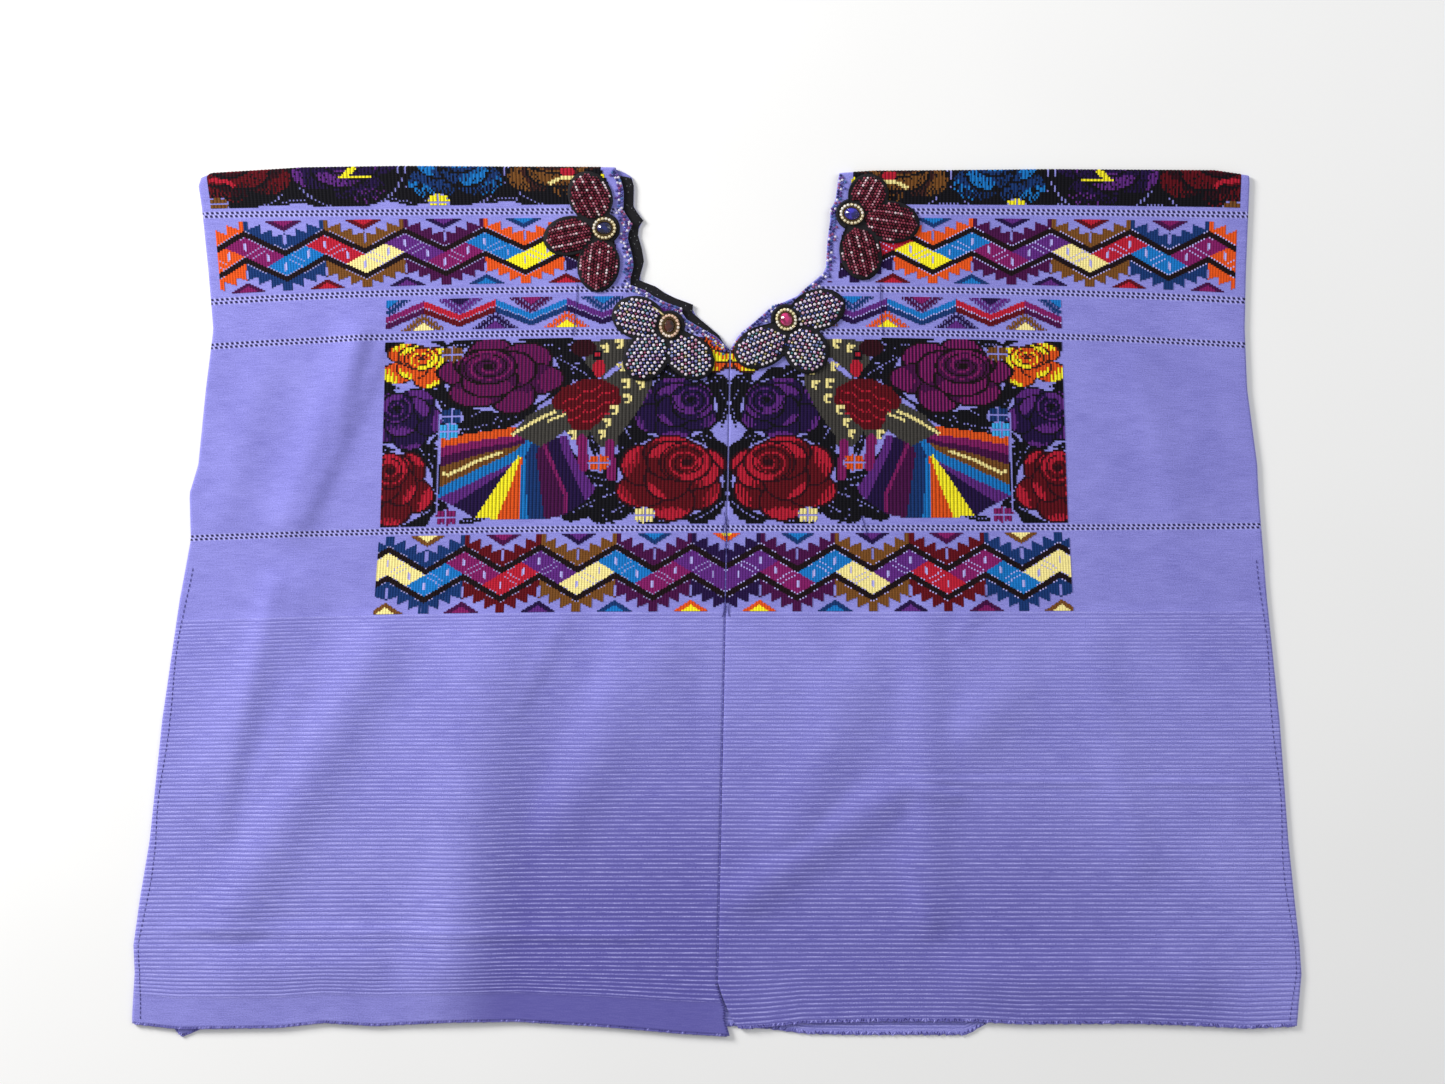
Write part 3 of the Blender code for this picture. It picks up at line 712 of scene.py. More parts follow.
def layer_rows(length, bottom, cord_rows):
    """One layer's rows from the shoulder to its hem: weft line, lift, rib, and which the inner wall has."""
    plain = np.arange(length.turn, CORDS_START, -GROUND_ROW)[:-1]
    lines = cord_lines(CORDS_START, bottom + PLAIN_HEM[length.side])
    rib = (np.arange(len(lines) - 1)[:, None] + np.array(cord_rows)).ravel()
    corded = np.interp(rib, np.arange(len(lines)), lines)
    grown = CORD_FIRST + (1.0 - CORD_FIRST) * smooth_step(0.0, CORDS_FULL, rib)
    lift = np.where(rib % 1.0 > 0.01, CORD_HEIGHT, CORD_HOLLOW) * grown
    hem = np.linspace(lines[-1], bottom, max(2, int((lines[-1] - bottom) / HEM_ROW)) + 1)
    rows = np.concatenate([plain, corded, hem])
    lifts = np.concatenate([np.zeros(len(plain)), lift, np.zeros(len(hem))])
    ribs = np.concatenate([np.zeros(len(plain)), rib, np.full(len(hem), len(lines) - 0.5)])
    keep = np.ones(len(rows), bool)
    inside = slice(len(plain), len(plain) + len(corded))
    keep[inside] = np.arange(len(corded)) % INNER_EVERY == 0
    return rows, lifts, ribs, keep


def add_length(length, finish):
    """One woven length: outer and inner walls over the same weft lines, closed along its edges."""
    front = layer_rows(length, length.front_bottom, FRONT_CORD_ROWS)
    back = layer_rows(length, length.back_bottom, BACK_CORD_ROWS)
    bend = length.turn + FOLD_ARC * np.linspace(0.0, 1.0, BEND_ROWS + 2)[1:-1]
    over = (bend, np.zeros(BEND_ROWS), np.zeros(BEND_ROWS), np.ones(BEND_ROWS, bool))
    back = (length.mirror - back[0], *back[1:])
    v, lift, rib, keep = (
        np.concatenate([up[::-1], level, down]) for up, level, down in zip(front, over, back)
    )
    keep[[0, -1]] = True
    across = np.sort([*np.linspace(0.0, 1.0, GROUND_COLUMNS), *EDGE_COLUMNS])
    edge = np.exp(-across / EDGE_REACH) + np.exp(-(1.0 - across) / EDGE_REACH)
    lifted = lift[:, None] * (1.0 - edge) - EDGE_DROP * edge
    outer = length.place(v[:, None], across=across[None], lift=lifted)
    inner = length.place(v[keep][:, None], across=across[None], lift=-WALL)
    rows, columns = outer.shape[:2]
    count = rows * columns
    inner_rows = len(inner)
    out = np.arange(count).reshape(rows, columns)
    within = count + np.arange(inner_rows * columns).reshape(inner_rows, columns)
    ups = length.side > 0
    faces = [
        grid(0, rows, columns, flip=not ups),
        grid(count, inner_rows, columns, flip=ups),
        edge_faces(out[:, 0], within[:, 0], keep, ups),
        edge_faces(out[:, -1], within[:, -1], keep, not ups),
        strip(out[0], within[0])[:, :: -1 if ups else 1],
        strip(out[-1], within[-1])[:, :: 1 if ups else -1],
    ]
    points = np.vstack([outer.reshape(-1, 3), inner.reshape(-1, 3)])
    all_v = np.concatenate([np.repeat(v, columns), np.repeat(v[keep], columns)])
    ribs = np.concatenate([np.repeat(rib, columns), np.repeat(rib[keep], columns)])
    uv = np.column_stack([points[:, 0], all_v])
    piece = add_piece(
        f"{length.name}_length", points, faces, finish, uv=uv, values={"cord": ribs}
    )
    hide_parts(f"{length.name}_web")
    return piece


def edge_faces(outer, inner, keep, flip):
    """Triangles between an outer chain and an inner one that has only its kept points."""
    under = np.cumsum(keep) - 1
    one = np.stack([outer[:-1], outer[1:], inner[under[:-1]]], axis=-1)
    step = np.flatnonzero(under[1:] > under[:-1])
    two = np.stack([outer[step + 1], inner[under[step + 1]], inner[under[step]]], axis=-1)
    faces = np.vstack([one, two])
    return faces if flip else faces[:, ::-1]


# The beaded patches
def petal_reach(patch, angle):
    """How far the patch reaches from its stone in each direction: the farthest edge of any petal."""
    stone_x, stone_y = patch["stone"]
    reach = np.full(angle.shape, PATCH_WAIST)
    for x, y, half_length, half_width, turn in patch["petals"]:
        along, across = turned(stone_x - x, stone_y - y, turn)
        start_u, start_v = along / half_length, across / half_width
        way_u = np.cos(angle - np.radians(turn)) / half_length
        way_v = np.sin(angle - np.radians(turn)) / half_width
        a = way_u**2 + way_v**2
        b = start_u * way_u + start_v * way_v
        c = start_u**2 + start_v**2 - 1.0
        root = b * b - a * c
        far = (-b + np.sqrt(np.maximum(root, 0.0))) / a
        reach = np.where(root > 0.0, np.maximum(reach, far), reach)
    return reach


def petal_place(petal, x, y, border=0.0):
    """A point's place on a petal, along and across it, 1 at its edge or at its border's inside."""
    centre_x, centre_y, half_length, half_width, turn = petal
    along, across = turned(x - centre_x, y - centre_y, turn)
    return along / (half_length - border), across / (half_width - border)


def patch_top(patch, x, y):
    """Top of the patch: over the brocade, with a dome on each petal inside its border."""
    height = np.zeros(np.shape(x))
    for petal in patch["petals"]:
        u, v = petal_place(petal, x, y, PATCH_BORDER)
        height = np.maximum(height, np.sqrt(np.clip(1.0 - u * u - v * v, 0.0, 1.0)))
    away = np.hypot(x - patch["stone"][0], y - patch["stone"][1])
    height = height * smooth_step(PATCH_CORE, PATCH_CORE + PATCH_CORE_SLOPE, away)
    return solid_front(x, y) + BROCADE_RISE + REST_GAP + PATCH_WALL + PATCH_DOME * height


# The ground of a patch: its grid; the roll of its border, as rise, middle and half width; the drop of
# its outermost ring; and its border's stitches, as rise, waves all round and reach
PATCH_STEPS = 160
PATCH_RINGS = 16
BORDER_ROLL = (0.7, 1.4, 1.2)
BORDER_DROP = 0.5
BORDER_STITCH = (0.12, 90.0, 3.2)


def add_patch(place, patch, finish):
    """The black ground of a patch, from its stone out to a rolled and stitched border."""
    angle = np.linspace(0.0, 2.0 * np.pi, PATCH_STEPS, endpoint=False)
    share = np.linspace(0.0, 1.0, PATCH_RINGS)[:, None]
    reach = petal_reach(patch, angle)
    stone_x, stone_y = patch["stone"]
    out = 1.0 + (reach - 1.0) * share
    x = stone_x + out * np.cos(angle)
    y = stone_y + out * np.sin(angle)
    low = solid_front(x, y) + BROCADE_RISE + REST_GAP
    rise, roll_middle, roll_width = BORDER_ROLL
    roll = rise * np.exp(-(((reach - out) - roll_middle) / roll_width) ** 2)
    edge = np.where(reach - out < 0.1, -BORDER_DROP, 0.0)
    rise, waves, stitch_reach = BORDER_STITCH
    stitch = rise * np.sin(angle * waves) * (reach - out < stitch_reach)
    high = patch_top(patch, x, y) + roll + edge + stitch
    top = np.stack([x, y, high], axis=-1).reshape(-1, 3)
    bottom = np.stack([x, y, low], axis=-1).reshape(-1, 3)
    count = PATCH_RINGS * PATCH_STEPS
    step = np.arange(PATCH_STEPS)
    after = (step + 1) % PATCH_STEPS
    rim = count - PATCH_STEPS
    middle = [(stone_x, stone_y, level[0].mean()) for level in (high, low)]
    faces = [
        grid(0, PATCH_RINGS, PATCH_STEPS, flip=True, closed=True),
        grid(count, PATCH_RINGS, PATCH_STEPS, closed=True),
        np.column_stack([step, after, np.full(PATCH_STEPS, 2 * count)]),
        np.column_stack([count + after, count + step, np.full(PATCH_STEPS, 2 * count + 1)]),
        np.column_stack([rim + after, rim + step, count + rim + step, count + rim + after]),
    ]
    points = np.vstack([top, bottom, middle])
    piece = add_piece(f"ground_{place}", points, faces, finish)
    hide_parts(f"patch_{place}")


# A cut bead: its sides, its share of radius and of height at each ring from its base up, and the turn
# from each bead to the next
BEAD_SIDES = 8
BEAD_LEVELS = ((0.7, 0.0), (1.0, 0.3), (0.86, 0.66), (0.45, 1.0))
BEAD_TURN = 0.7


def add_beads(name, places, sizes, heights, colours, finish, slot):
    """Cut beads of a few faces each: an eight-sided section carried up through four levels."""
    places = np.asarray(places, float)
    sizes = np.broadcast_to(sizes, len(places))
    heights = np.broadcast_to(heights, len(places))
    turn = np.arange(len(places))[:, None] * BEAD_TURN
    angle = np.linspace(0.0, 2.0 * np.pi, BEAD_SIDES, endpoint=False) + turn
    wide, high = np.array(BEAD_LEVELS).T[:, None, :, None]
    radius = sizes[:, None, None] * wide
    x = places[:, 0, None, None] + radius * np.cos(angle)[:, None]
    y = places[:, 1, None, None] + radius * np.sin(angle)[:, None]
    z = places[:, 2, None, None] + heights[:, None, None] * high
    points = np.stack(np.broadcast_arrays(x, y, z), axis=-1)
    levels = len(BEAD_LEVELS)
    start = (np.arange(len(places)) * BEAD_SIDES * levels)[:, None, None]
    groups = [grid(0, levels, BEAD_SIDES, closed=True), end_fans(BEAD_SIDES, (levels - 1) * BEAD_SIDES)]
    faces = [(group[None] + start).reshape(-1, group.shape[1]) for group in groups]
    shades = np.vstack([np.repeat(np.asarray(colours, float), len(group), axis=0) for group in groups])
    add_piece(name, points, faces, finish, smooth=False, colours=shades)


# Beads: their colours and the share of each
PALE_BEADS = (
    ((0.92, 0.84, 0.92), 0.66), ((0.74, 0.60, 0.82), 0.20), ((0.66, 0.38, 0.52), 0.10),
    ((0.30, 0.34, 0.62), 0.04),
)
SMALL_BEADS = (
    ((0.06, 0.09, 0.36), 0.30), ((0.13, 0.06, 0.30), 0.24), ((0.36, 0.06, 0.16), 0.16),
    ((0.20, 0.26, 0.58), 0.16), ((0.50, 0.42, 0.16), 0.06), ((0.10, 0.32, 0.34), 0.08),
)
BURGUNDY_BEADS = (
    ((0.070, 0.006, 0.016), 0.30), ((0.170, 0.014, 0.036), 0.36), ((0.330, 0.050, 0.090), 0.34),
)
LIT_BEADS = (
    ((0.330, 0.070, 0.120), 0.40), ((0.620, 0.300, 0.370), 0.36), ((0.900, 0.760, 0.800), 0.24),
)
NECK_BEADS = (
    ((0.12, 0.12, 0.45), 0.20), ((0.03, 0.03, 0.18), 0.22), ((0.15, 0.06, 0.30), 0.14),
    ((0.07, 0.16, 0.42), 0.10), ((0.82, 0.78, 0.92), 0.22), ((0.35, 0.10, 0.25), 0.12),
)
GILT_BEADS = {
    "upper_left": (((0.92, 0.80, 0.50), 0.6), ((0.98, 0.93, 0.80), 0.4)),
    "upper_right": (((0.92, 0.82, 0.55), 0.6), ((0.98, 0.94, 0.84), 0.4)),
    "lower_left": (((0.88, 0.62, 0.46), 0.6), ((0.97, 0.86, 0.74), 0.4)),
    "lower_right": (((0.95, 0.86, 0.50), 0.6), ((0.99, 0.95, 0.78), 0.4)),
}


def pick(draw, choices, count):
    """Colours drawn from a list of colours and shares."""
    shares = np.array([share for _, share in choices])
    index = draw.choice(len(choices), count, p=shares / shares.sum())
    return np.array([colour for colour, _ in choices])[index]


# The rows of beads on a petal: how far apart they are in its middle and how much less at its ends, the
# power of the petal's pointed outline, the bare margin, how far beads stray, and how deep they sink
ROW_SPREAD = 1.08
ROW_CLOSING = 0.2
PETAL_POWER = 0.62
BEAD_MARGIN = 1.1
BEAD_STRAY = 0.12
BEAD_SINK = 0.15


def petal_beads(patch, draw, step, between, radius, ring_reach):
    """Places of a patch's beads, and the row of each: rows on a petal close up towards its ends."""
    stone_x, stone_y = patch["stone"]
    found = []
    for petal in patch["petals"]:
        centre_x, centre_y, half_length, half_width, turn = petal
        rows = int(half_width / between) + 1
        along = np.arange(-half_length, half_length, step)
        for row in range(-rows, rows + 1):
            a = along + (row % 2) * step / 2.0
            b = row * between * (ROW_SPREAD - ROW_CLOSING * np.square(a / half_length))
            x, y = turned(a, b, -turn)
            x, y = x + centre_x, y + centre_y
            u, v = petal_place(petal, x, y, radius + BEAD_MARGIN)
            inside = (np.abs(u) < 1.0) & (np.abs(v) < np.maximum(1.0 - u * u, 0.0) ** PETAL_POWER)
            nearest = np.min([
                np.sum(np.square(petal_place(other, x, y)), axis=0) for other in patch["petals"]
            ], axis=0)
            own = np.sum(np.square(petal_place(petal, x, y)), axis=0) <= nearest + 1e-6
            clear = np.hypot(x - stone_x, y - stone_y) > ring_reach + radius
            kept = inside & own & clear
            found.append(np.column_stack([x, y, np.full(len(x), row)])[kept])
    found = np.vstack(found)
    x, y = (found[:, :2] + draw.uniform(-BEAD_STRAY, BEAD_STRAY, (len(found), 2))).T
    return np.column_stack([x, y, patch_top(patch, x, y) - BEAD_SINK]), found[:, 2].astype(int)


def seat_height(place):
    """Underside of the ring and stone that sit on a patch."""
    x = place[0] + np.array([-PATCH_CORE, 0.0, PATCH_CORE, 0.0, 0.0])
    y = place[1] + np.array([0.0, -PATCH_CORE, 0.0, PATCH_CORE, 0.0])
    return float(solid_front(x, y).max()) + BROCADE_RISE + REST_GAP + PATCH_WALL + SEAM_GAP


def oval(half_length, half_width, turn, steps, start=0.0):
    """X and Y around an oval with its long side turned."""
    angle = np.linspace(0.0, 2.0 * np.pi, steps, endpoint=False) + start
    return np.stack(turned(half_length * np.cos(angle), half_width * np.sin(angle), -turn), axis=-1)


# A cut stone: share of its outline, share of its height and half steps of turn at each ring
STONE_CUT = ((0.62, 0.0, 0), (1.0, 0.28, 0), (1.0, 0.42, 0), (0.80, 0.74, 1), (0.46, 1.0, 2))
STONE_STEPS = 16


def add_stone(place, centre, size, finish):
    """A faceted oval stone: kite facets between rings that are turned by half a step."""
    half_length, half_width, _, _, turn = size
    base = seat_height(centre)
    rings = []
    for share, rise, half_steps in STONE_CUT:
        start = half_steps * np.pi / STONE_STEPS
        ring = oval(half_length * share, half_width * share, turn, STONE_STEPS, start) + centre
        rings.append(np.column_stack([ring, np.full(STONE_STEPS, base + rise * STONE_HEIGHT)]))
    points = np.vstack(rings)
    quads = grid(0, 3, STONE_STEPS, closed=True)
    crown = grid(2 * STONE_STEPS, 3, STONE_STEPS, closed=True)
    ends = end_fans(STONE_STEPS, 4 * STONE_STEPS)
    faces = [quads, np.vstack([crown[:, [0, 1, 3]], crown[:, [1, 2, 3]], ends])]
    piece = add_piece(f"cut_{place}", points, faces, finish, smooth=False)
    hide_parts(f"stone_{place}")


# The setting: its points round, the small stones on it with their largest radius, their height and
# their seat, the gap and the wall of the collar round the stone, how far the plate stays inside the
# ring's size, and the depth of its scallops as a share
SETTING_STEPS = 72
RING_STONES = 18
RING_STONE_SIZE = (1.3, 1.7, 0.8)
COLLAR_GAP = 0.25
COLLAR_WALL = 0.9
RIM_INSET = 0.6
SCALLOP = 0.05


def add_ring(place, centre, size, gilt, beads, draw):
    """The gilt setting: a scalloped plate with a collar round the stone, and small stones on it."""
    half_length, half_width, ring_length, ring_width, turn = size
    base = seat_height(centre)
    angle = np.linspace(0.0, 2.0 * np.pi, SETTING_STEPS, endpoint=False)
    scallop = (1.0 + SCALLOP * np.abs(np.sin(angle * RING_STONES / 2.0)))[:, None]
    inside = oval(half_length + COLLAR_GAP, half_width + COLLAR_GAP, turn, SETTING_STEPS)
    collar = oval(half_length + COLLAR_WALL, half_width + COLLAR_WALL, turn, SETTING_STEPS)
    outside = oval(ring_length - RIM_INSET, ring_width - RIM_INSET, turn, SETTING_STEPS) * scallop
    levels = (
        (inside, 0.0), (outside, 0.0), (outside, 0.7), (collar, 1.0), (collar, 2.0), (inside, 2.0),
    )
    points = np.vstack([
        np.column_stack([ring + centre, np.full(SETTING_STEPS, base + rise)]) for ring, rise in levels
    ])
    step = np.arange(SETTING_STEPS)
    after = (step + 1) % SETTING_STEPS
    last = (len(levels) - 1) * SETTING_STEPS
    closing = np.column_stack([last + step, last + after, after, step])
    faces = [grid(0, len(levels), SETTING_STEPS, closed=True), closing]
    plate = add_piece(f"setting_{place}", points, faces, gilt, smooth=False)
    middle_length = (half_length + COLLAR_WALL + ring_length) / 2.0
    middle_width = (half_width + COLLAR_WALL + ring_width) / 2.0
    around = oval(middle_length, middle_width, turn, RING_STONES) + centre
    most, height, seat = RING_STONE_SIZE
    seats = np.column_stack([around, np.full(RING_STONES, base + seat)])
    radius = min(most, (ring_length - half_length - COLLAR_WALL) / 2.0)
    colours = pick(draw, GILT_BEADS[place], RING_STONES)
    add_beads(f"ring_stones_{place}", seats, radius, height, colours, beads, "gilt_beads")
    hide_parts(f"ring_{place}")


# The facing: its points along, how near the shoulder it narrows, and its section as places inwards
# from its edge and shares of its height; the sparks sewn on it, how far in they lie, their radius and
# height, and their colours
FACING_STEPS = 90
FACING_NARROWS = 12.0
FACING_SECTION = ((0.3, 0.0), (0.0, 0.35), (0.15, 0.8), (0.6, 1.0), (16.4, 1.0), (17.0, 0.4), (16.4, 0.0))
SPARKS = 46
SPARK_REACH = (1.2, 6.5)
SPARK_SIZE = (0.42, 0.45)
SPARK_COLOURS = (((0.30, 0.32, 0.34), 0.5), ((0.10, 0.10, 0.12), 0.5))


def add_facing(finish, beads, draw):
    """The black facing on the back's neck edge, a rounded strip with small sparks sewn along it."""
    length = LENGTHS[0]
    v = np.linspace(length.shoulder, CENTRE_SEAM[0][0] + REST_GAP, FACING_STEPS)
    shift = neck_fade(length.shoulder, v)[:, None] * np.array(BACK_NECK_SHIFT)
    edge = np.column_stack([read_table(length.edge, v), v]) + shift
    narrows = smooth_step(length.shoulder - FACING_NARROWS, length.shoulder, edge[:, 1])
    edge[:, 1] -= FACING_WIDTH / 4.0 * narrows
    turn = FACING_SLANT * (1.0 - smooth_step(*FACING_TURN, edge[:, 1]))
    way = np.column_stack([np.cos(turn), np.sin(turn)])
    low = CAD_WALL + SEAM_GAP
    rings = [
        np.column_stack([edge - way * inward, np.full(len(edge), low + rise * FACING_WALL)])
        for inward, rise in FACING_SECTION
    ]
    points = np.stack(rings, axis=1)
    sides = len(FACING_SECTION)
    faces = [grid(0, len(edge), sides, closed=True), end_fans(sides, sides * (len(edge) - 1))]
    piece = add_piece("facing", points, faces, finish)
    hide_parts("neck_facing")
    at = draw.uniform(0.03, 0.97, SPARKS) * (len(edge) - 1)
    inward = draw.uniform(*SPARK_REACH, SPARKS)
    index = np.arange(len(edge))
    spots = [
        np.interp(at, index, edge[:, k]) - np.interp(at, index, way[:, k]) * inward for k in (0, 1)
    ]
    spots = np.column_stack([*spots, np.full(SPARKS, low + FACING_WALL - 0.1)])
    colours = pick(draw, SPARK_COLOURS, SPARKS)
    add_beads("facing_sparks", spots, *SPARK_SIZE, colours, beads, "facing_cloth")


# The small stones along the neck: how far in each row lies, the step from stone to stone, how far
# they stray, the stretch of edge that gives their direction, how far they keep from a patch's stone,
# the share that is left of the last row, and their radius and height
NECK_ROWS = (1.2, 3.5, 5.8)
NECK_STEP = 2.5
NECK_STRAY = 0.3
NECK_STRETCH = 3.0
NECK_CLEAR = 11.5
NECK_LAST_SHARE = 0.4
NECK_STONE_SIZE = (1.18, 1.3)


def add_neck_beads(length, finish, draw):
    """Rows of small cut stones along one side of the neck edge, on the front."""
    edge = np.array([(x, y) for y, x in length.edge], float)
    run = run_of(edge)
    places, colours = [], []
    for row, inset in enumerate(NECK_ROWS):
        at = np.arange(2.0 + row * NECK_ROWS[0], run[-1] - 1.0, NECK_STEP)
        x, y = (np.interp(at, run, edge[:, k]) for k in (0, 1))
        ahead, behind = at + NECK_STRETCH, at - NECK_STRETCH
        way = [np.interp(ahead, run, edge[:, k]) - np.interp(behind, run, edge[:, k]) for k in (0, 1)]
        way = way / np.hypot(*way)
        x = x + length.side * -way[1] * inset
        y = y + length.side * way[0] * inset
        x = x + draw.uniform(-NECK_STRAY, NECK_STRAY, len(x))
        y = y + draw.uniform(-NECK_STRAY, NECK_STRAY, len(y))
        kept = np.ones(len(x), bool)
        for patch in PATCHES.values():
            for petal in patch["petals"]:
                u, v = petal_place(petal, x, y, -1.0)
                kept &= u * u + v * v > 1.0
            kept &= np.hypot(x - patch["stone"][0], y - patch["stone"][1]) > NECK_CLEAR
        if inset == NECK_ROWS[-1]:
            kept &= draw.uniform(size=len(x)) < NECK_LAST_SHARE
        z = solid_front(x, y) + fold_height(x, y, CREASES) - 0.1
        places.append(np.column_stack([x, y, z])[kept])
        colours.append(pick(draw, NECK_BEADS, int(kept.sum())))
    places, colours = np.vstack(places), np.vstack(colours)
    add_beads(f"neck_stones_{length.name}", places, *NECK_STONE_SIZE, colours, finish, "beaded_patch")


# How wide and high the stitches of the bands are: the coarse ones of the shoulder and the bird, and
# the fine ones of the zigzags; and the pattern's own line of the shoulder fold
COARSE_STITCH = (1.45, 1.5)
FINE_STITCH = (1.12, 1.12)
SHOULDER_LINE = 350.0

# How far from the middle the shoulder band and the upper zigzag end, and the bare line at the top and
# bottom of the roses' bands
SHOULDER_END = 412.0
ZIGZAG_END = 410.0
BARE_END = 0.5

# The brocade: yarns, and the pattern of each band as shapes laid over each other
YARNS = {
    "black": (0.004, 0.0035, 0.007),
    "navy": (0.007, 0.034, 0.150),
    "blue": (0.008, 0.170, 0.520),
    "sky": (0.045, 0.380, 0.780),
    "indigo": (0.014, 0.004, 0.050),
    "violet": (0.105, 0.020, 0.200),
    "plum": (0.058, 0.0035, 0.055),
    "magenta": (0.205, 0.010, 0.115),
    "wine": (0.028, 0.002, 0.007),
    "maroon": (0.105, 0.0025, 0.008),
    "red": (0.450, 0.011, 0.032),
    "brown": (0.170, 0.065, 0.014),
    "umber": (0.045, 0.012, 0.010),
    "soot": (0.009, 0.003, 0.005),
    "cream": (0.880, 0.760, 0.300),
    "yellow": (0.930, 0.820, 0.020),
    "orange": (0.720, 0.085, 0.010),
    "grey": (0.052, 0.048, 0.043),
    # The pale yarn's dotted lines are in the weave; their colour, lighter than the ground, is a painted
    # highlight on their threads
    "pale": (0.400, 0.380, 0.760),
}
YARN_NAMES = ("ground", *YARNS)
YARN_COLOURS = np.array([LAVENDER, *YARNS.values()])

# Four tones of a rose, from its lines to its brightest petals
ROSE_YARNS = {
    "red": ("wine", "maroon", "maroon", "red"),
    "magenta": ("soot", "plum", "plum", "magenta"),
    "violet": ("black", "indigo", "indigo", "violet"),
    "blue": ("black", "navy", "navy", "blue"),
    "brown": ("black", "umber", "brown", "brown"),
    "yellow": ("umber", "orange", "orange", "yellow"),
    "wine": ("black", "wine", "maroon", "maroon"),
}

# A leaf: the step of its teeth and of its midrib's dots, the midrib's half width, the step from vein
# to vein, and the width over which a leaf has them; a small flower: its radius, that of the ground
# under it, and how flat it lies
LEAF_TOOTH = 6.0
LEAF_DOT = 3.0
LEAF_MIDRIB = 0.62
LEAF_VEIN = 14.0
LEAF_VEINED = 15.0
FLORET_RADIUS = 9.6
FLORET_GROUND = 9.0
FLORET_SQUASH = 1.45


class Pattern:
    """The yarn of each stitch of a band, over s from the middle outwards and v up the cloth."""

    def __init__(self, s, v, width):
        self.s, self.v = np.broadcast_arrays(s, v)
        self.width = width
        self.yarn = np.zeros(self.s.shape, int)

    def lay(self, where, yarn):
        """Lays one yarn on the stitches where a shape is."""
        self.yarn[where] = YARN_NAMES.index(yarn)

    def oval(self, s, v, half_s, half_v, turn=0.0):
        """Squared reach from an oval's middle, 1 on its line."""
        along, across = turned(self.s - s, self.v - v, turn)
        return (along / half_s) ** 2 + (across / half_v) ** 2

    def inside(self, corners):
        """Stitches within a polygon: those that an odd number of its sides lie to the right of."""
        found = np.zeros(self.s.shape, bool)
        for (s0, v0), (s1, v1) in zip(corners, corners[1:] + corners[:1]):
            level = (v0 > self.v) != (v1 > self.v)
            at = s0 + (self.v - v0) * (s1 - s0) / ((v1 - v0) or 1e-9)
            found ^= level & (self.s < at)
        return found

    def stroke(self, points, width):
        """Stitches within half a width of a line through points."""
        found = np.zeros(self.s.shape, bool)
        for (s0, v0), (s1, v1) in zip(points, points[1:]):
            run = (s1 - s0) ** 2 + (v1 - v0) ** 2
            t = np.clip(((self.s - s0) * (s1 - s0) + (self.v - v0) * (v1 - v0)) / run, 0.0, 1.0)
            away = np.hypot(self.s - s0 - t * (s1 - s0), self.v - v0 - t * (v1 - v0))
            found |= away < width / 2.0
        return found

    def lay_strokes(self, strokes):
        """Lays lines of one yarn each, given as yarn, width and points."""
        for yarn, width, points in strokes:
            self.lay(self.stroke(points, width), yarn)

    def every_other(self):
        """Every second column of stitches."""
        return np.floor(self.s / self.width) % 2 == 0

    def bare_ends(self, low, high):
        """Leaves the ground bare at a band's two edges."""
        self.lay((self.v < low + BARE_END) | (self.v > high - BARE_END), "ground")

    def petal(self, s, v, half_s, half_v, way, tones, hollow=0.1):
        """One petal: a dark line, deep at its root, and bright towards its outer edge."""
        dark, deep, middle, light = ROSE_YARNS[tones]
        reach = self.oval(s, v, half_s, half_v)
        along = (self.s - s) / half_s * way[0] + (self.v - v) / half_v * way[1]
        side = (self.v - v) / half_v * way[0] - (self.s - s) / half_s * way[1]
        ragged = 0.10 * np.sin(self.s * 2.1) + 0.06 * np.sin(self.v * 3.3 + self.s)
        self.lay(reach < 1.0, dark)
        inner = reach < 0.80
        self.lay(inner, deep)
        self.lay(inner & (along + ragged > hollow - 0.25 * side), middle)
        bright = along + ragged - hollow - 0.35 * side**2
        striped = self.every_other()
        shine = bright > 0.36 - 0.2 * striped
        if tones == "magenta":
            shine = striped & (bright > -0.25)
        self.lay(inner & shine, light)

    def rose(self, s, v, half_s, half_v, tones, eye=(0.0, 0.0), hand=1, petals=5, start=0.0):
        """A rose: outer petals all round, a few wide ones over them, and a bud of one spiral."""
        dark, deep, middle, light = ROSE_YARNS[tones]
        rounds = ((petals, 0.60, 0.47, 0.0, 0.0), (3, 0.26, 0.50, 0.45, 0.7))
        for count, away, size, drift, turn in rounds:
            for k in range(count):
                angle = start + turn + hand * 2.0 * np.pi * k / count
                way = (np.cos(angle), np.sin(angle))
                self.petal(
                    s + drift * eye[0] + way[0] * away * half_s,
                    v + drift * eye[1] + way[1] * away * half_v,
                    half_s * size * (1.0 + 0.12 * np.cos(k * 2.4)),
                    half_v * size * (1.0 - 0.10 * np.cos(k * 2.4)),
                    way, tones, 0.05 + 0.25 * (k % 2),
                )
        es, ev = (self.s - s - eye[0]) / half_s, (self.v - v - eye[1]) / half_v
        reach, about = np.hypot(es, ev), np.arctan2(ev, es)
        turns = (reach * 5.2 + hand * about / (2.0 * np.pi)) % 1.0
        self.lay(reach < 0.50, dark)
        self.lay(reach < 0.46, deep)
        self.lay((reach < 0.46) & (turns < 0.16), dark)
        self.lay((reach < 0.46) & (reach > 0.10) & (turns > 0.42) & (turns < 0.62), light)
        shine = np.cos(about - start - 1.2 * hand) > 0.45
        if tones == "magenta":
            shine &= self.every_other()
        self.lay((reach < 0.44) & (reach > 0.24) & shine & (turns > 0.2), light)
        self.lay(reach < 0.09, dark)

